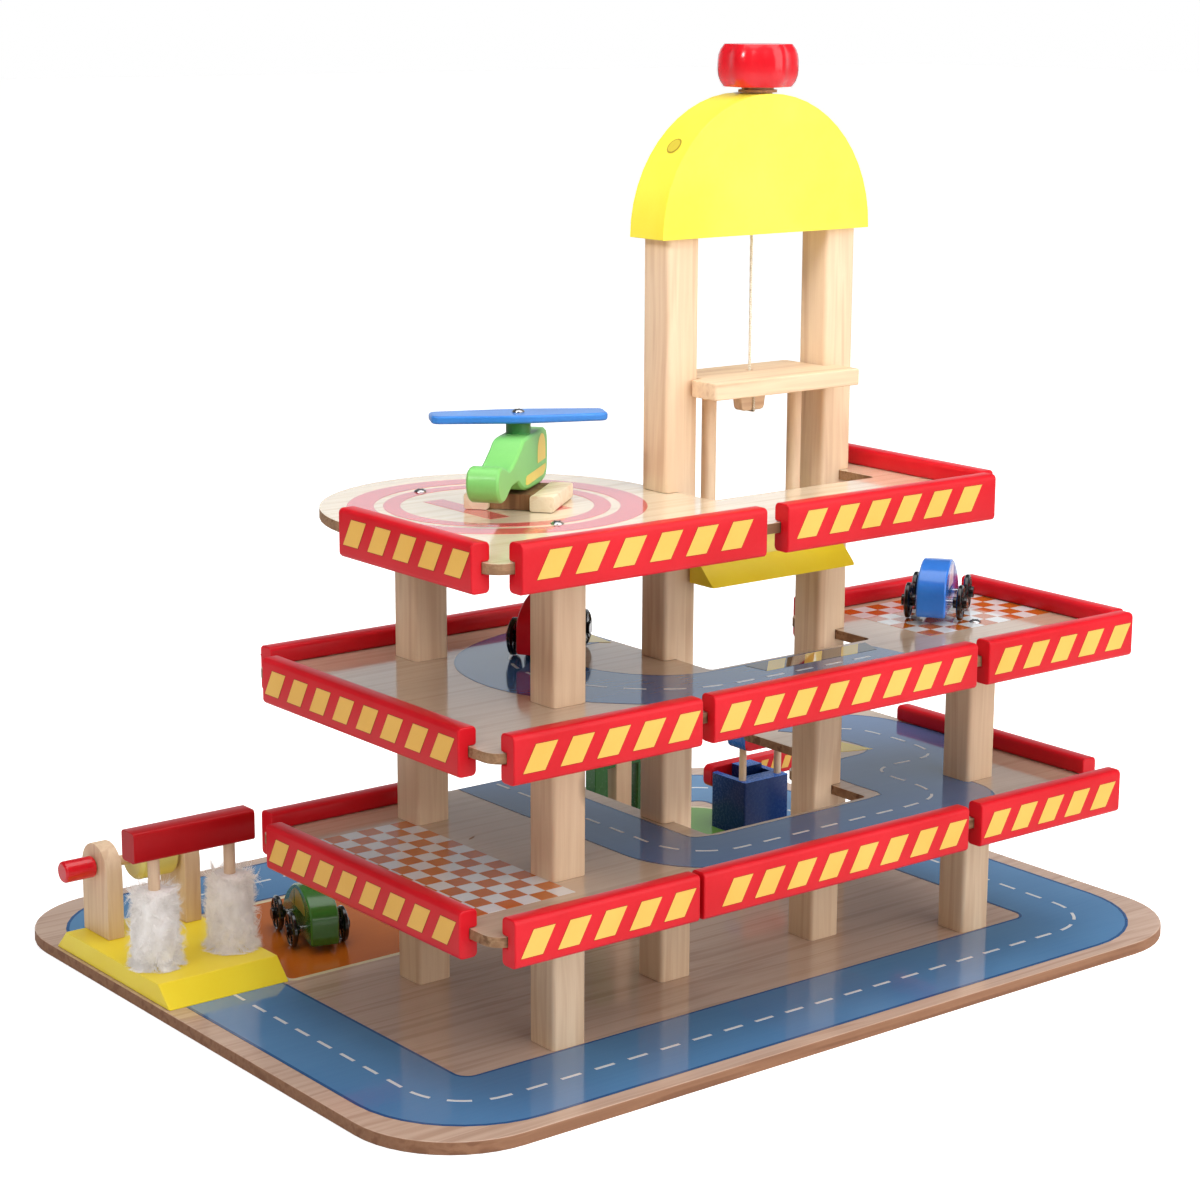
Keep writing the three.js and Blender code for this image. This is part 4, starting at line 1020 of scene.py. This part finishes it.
def helicopter_prints():
    """A window and a stripe on each side, and the screw on the rotor."""
    m = Mesher()
    window = [(6.5, 20.5), (23.7, 20.5), (23.7, 26.5)] + arc(15.1, 26.5, 8.6, 20, 160, 8) + [(6.5, 26.5)]
    stripe = [(-19, 13.4), (-16, 12.7), (19, 12.7), (23.5, 14.8), (24, 17.8), (-17, 17.8), (-19, 16.6)]
    for side in (-1, 1):
        for shape in (window, stripe):
            points = [mm(x, side * 8.5, z) for x, z in shape]
            local_slab(m, craft, points, (0, side * mm(0.14), 0), 0)
    m.build("helicopter_prints", "helicopter", "light_green_paint", ["window"])
    s = Mesher()
    screw(s, craft, -1, 0, 48.7, 3.3)
    s.build("rotor_screw", "rotor", None, ["steel", "black"], angle=40)


helicopter_prints()


# Cars: their axes, paint, and the tints of the large and the small window
cars = {
    "green_car": (placed(-153.3, 79.4, 7.3, 73.5), "green", ["olive", "olive"]),
    "blue_car": (placed(161.0, -112.6, 191.9, 37.4), "blue", ["lilac", "violet"]),
    "red_car": (placed(-75.2, -49.0, 191.9, 34.8), "red", ["olive", "olive"]),
}

AXLES = {"rear": -15.5, "front": 15.5}
AXLE_HEIGHT, AXLE_RADIUS = 10.5, 1.75
BODY_HALF, WHEEL_OUT = mm(8.5), mm(18.9)


def wheel_spokes(m, place, axle):
    """Six raised spokes on both faces of both wheels of an axle."""
    start, end, half = 2.8, 8.6, 0.85
    for side in (-1, 1):
        for y, out in ((15.8, 1), (14.4, -1)):
            for k in range(6):
                a = math.pi * k / 3 + 0.2
                ca, sa = math.cos(a), math.sin(a)
                corners = [mm(axle + r * ca - h * sa, side * y, AXLE_HEIGHT + r * sa + h * ca)
                           for r, h in box_corners(start, -half, end, half)]
                local_slab(m, place, corners, (0, side * out * mm(0.7), 0), 0)


def car_windows(m, place):
    """Side windows: a large one at the back and a small one ahead of it."""
    rear = [(-20, 19), (-19, 24), (-13, 28.5), (-6, 30.6), (1, 30), (1, 19)]
    ahead = [(3, 19), (3, 29), (9, 25), (14.5, 19)]
    for side in (-1, 1):
        for kind, shape in enumerate((rear, ahead)):
            points = [mm(x, side * 8.4, z) for x, z in shape]
            local_slab(m, place, points, (0, side * mm(0.12), 0), kind)


def on_axle(p, axle):
    """Whether a point in the car's own axes is on an axle's pin."""
    return math.hypot(p.x - mm(axle), p.z - mm(AXLE_HEIGHT)) < mm(AXLE_RADIUS)


def dress_car(name, place, look):
    """A car; the red one's wheels are one node with its body."""
    back = place.inverted()

    def whole_car(c, n):
        p = back @ c
        if abs(p.y) < BODY_HALF:
            return 0
        return 2 if any(on_axle(p, axle) for axle in AXLES.values()) else 1

    if name == "red_car":
        dress(name, [look, "black", "steel"], whole_car, bevel=0.35, angle=38)
        m = Mesher()
        for axle in AXLES.values():
            wheel_spokes(m, place, axle)
        m.build(name + "_spokes", name, "black_plastic", ["black"], bevel=0.2)
        return
    dress(name + "_body", [look], bevel=0.5, segments=3, angle=40)
    for end, axle in AXLES.items():
        def wheel_set(c, n, axle=axle):
            p = back @ c
            return 1 if on_axle(p, axle) and abs(p.y) < WHEEL_OUT else 0

        dress(f"{name}_{end}_wheels", ["black", "steel"], wheel_set, bevel=0.3, angle=38)
        m = Mesher()
        wheel_spokes(m, place, axle)
        m.build(f"{name}_{end}_spokes", f"{name.split('_')[0]}_{end}", "black_plastic", ["black"], bevel=0.2)


for name, (place, look, glass) in cars.items():
    dress_car(name, place, look)
    m = Mesher()
    car_windows(m, place)
    m.build(name + "_windows", name, None, glass)


# Floor, world and lamps
def make_floor():
    """A pale floor that glows for the camera, so that it is as white as the background."""
    g = Graph("studio_floor", 0.6)
    g.colour(g.ramp(g.noise(g.place, 3, 2), (0.3, srgb(238, 238, 238)), (0.7, srgb(244, 244, 244))))
    path = g.node("ShaderNodeLightPath")
    glow = g.node("ShaderNodeEmission", {"Color": (1, 1, 1, 1), "Strength": 0.7})
    off = g.node("ShaderNodeEmission", {"Strength": 0.0})
    camera_ray = path.outputs["Is Camera Ray"]
    seen = g.node("ShaderNodeMixShader", {0: camera_ray, 1: off.outputs[0], 2: glow.outputs[0]})
    both = g.node("ShaderNodeAddShader", {0: g.shader.outputs[0], 1: seen.outputs[0]})
    g.tree.links.new(both.outputs[0], g.tree.nodes["Material Output"].inputs["Surface"])
    mesh = bpy.data.meshes.new("studio_floor")
    size = 14.0
    corners = [(x, y, 0) for x, y in box_corners(-size, -size, size, size)]
    mesh.from_pydata(corners, [], [(0, 1, 2, 3)])
    mesh.materials.append(g.material)
    floor = bpy.data.objects.new("studio_floor", mesh)
    bpy.context.scene.collection.objects.link(floor)


def make_world():
    """White for the camera, soft light for the object, and for glossy rays a backdrop behind it, low down."""
    world = bpy.data.worlds.new("studio")
    bpy.context.scene.world = world
    world.use_nodes = True
    sky = Tree(world.node_tree)
    sky.tree.nodes.clear()

    def background(colour, strength):
        return sky.node("ShaderNodeBackground", {"Color": (*colour, 1), "Strength": strength}).outputs[0]

    def graded(value, start, end, low, high):
        return sky.node("ShaderNodeMapRange", {
            "Value": value, "From Min": start, "From Max": end, "To Min": low, "To Max": high,
        }).outputs["Result"]

    def mixed(factor, one, other):
        return sky.node("ShaderNodeMixShader", {0: factor, 1: one, 2: other}).outputs[0]

    soft = background((1, 0.97, 0.94), 0.38)
    white = background((1, 1, 1), 1.0)
    towards = sky.node("ShaderNodeTexCoord").outputs["Generated"]
    from_camera = {0: towards, 1: (0.618, 0.786, 0)}
    away = sky.node("ShaderNodeVectorMath", from_camera, operation="DOT_PRODUCT").outputs["Value"]
    height = sky.node("ShaderNodeSeparateXYZ", {0: towards}).outputs["Z"]
    backdrop = {0: graded(away, 0.3, 0.85, 0.0, 1.0), 1: graded(height, 0.2, 0.33, 0.86, 0.03), 2: 0.06}
    strength = sky.node("ShaderNodeMath", backdrop, operation="MULTIPLY_ADD").outputs[0]
    mirrored = background((0.9, 0.95, 1), strength)
    rays = sky.node("ShaderNodeLightPath").outputs
    straight = {0: rays["Is Camera Ray"], 1: rays["Is Transmission Ray"]}
    through = sky.node("ShaderNodeMath", straight, operation="MAXIMUM").outputs[0]
    lit = mixed(rays["Is Glossy Ray"], soft, mirrored)
    sky.node("ShaderNodeOutputWorld", {"Surface": mixed(through, lit, white)})


def area_light(name, place, aim, size, power, spread=180):
    """A lamp at a place in metres, turned towards the aim, of so many watts."""
    data = bpy.data.lights.new(name, "AREA")
    data.shape = "RECTANGLE"
    data.size, data.size_y = size
    data.energy = power
    data.spread = math.radians(spread)
    lamp = bpy.data.objects.new(name, data)
    lamp.location = place
    lamp.rotation_mode = "QUATERNION"
    lamp.rotation_quaternion = (Vector(aim) - Vector(place)).to_track_quat("-Z", "Y")
    bpy.context.scene.collection.objects.link(lamp)


make_floor()
make_world()
area_light("key", (0.6, -2.0, 1.25), (0, 0, 0.32), (2.7, 2.2), 41)
area_light("top", (0.2, -0.3, 2.3), (0, 0, 0.1), (2.2, 2.2), 34)
area_light("fill", (-1.9, -0.8, 1.9), (0, 0, 0.35), (1.2, 1.2), 6)
area_light("crown", (-1.3, -0.5, 1.3), (0.1, -0.05, 0.62), (0.5, 0.5), 1.1, spread=44)

bpy.context.scene.view_settings.view_transform = "Standard"
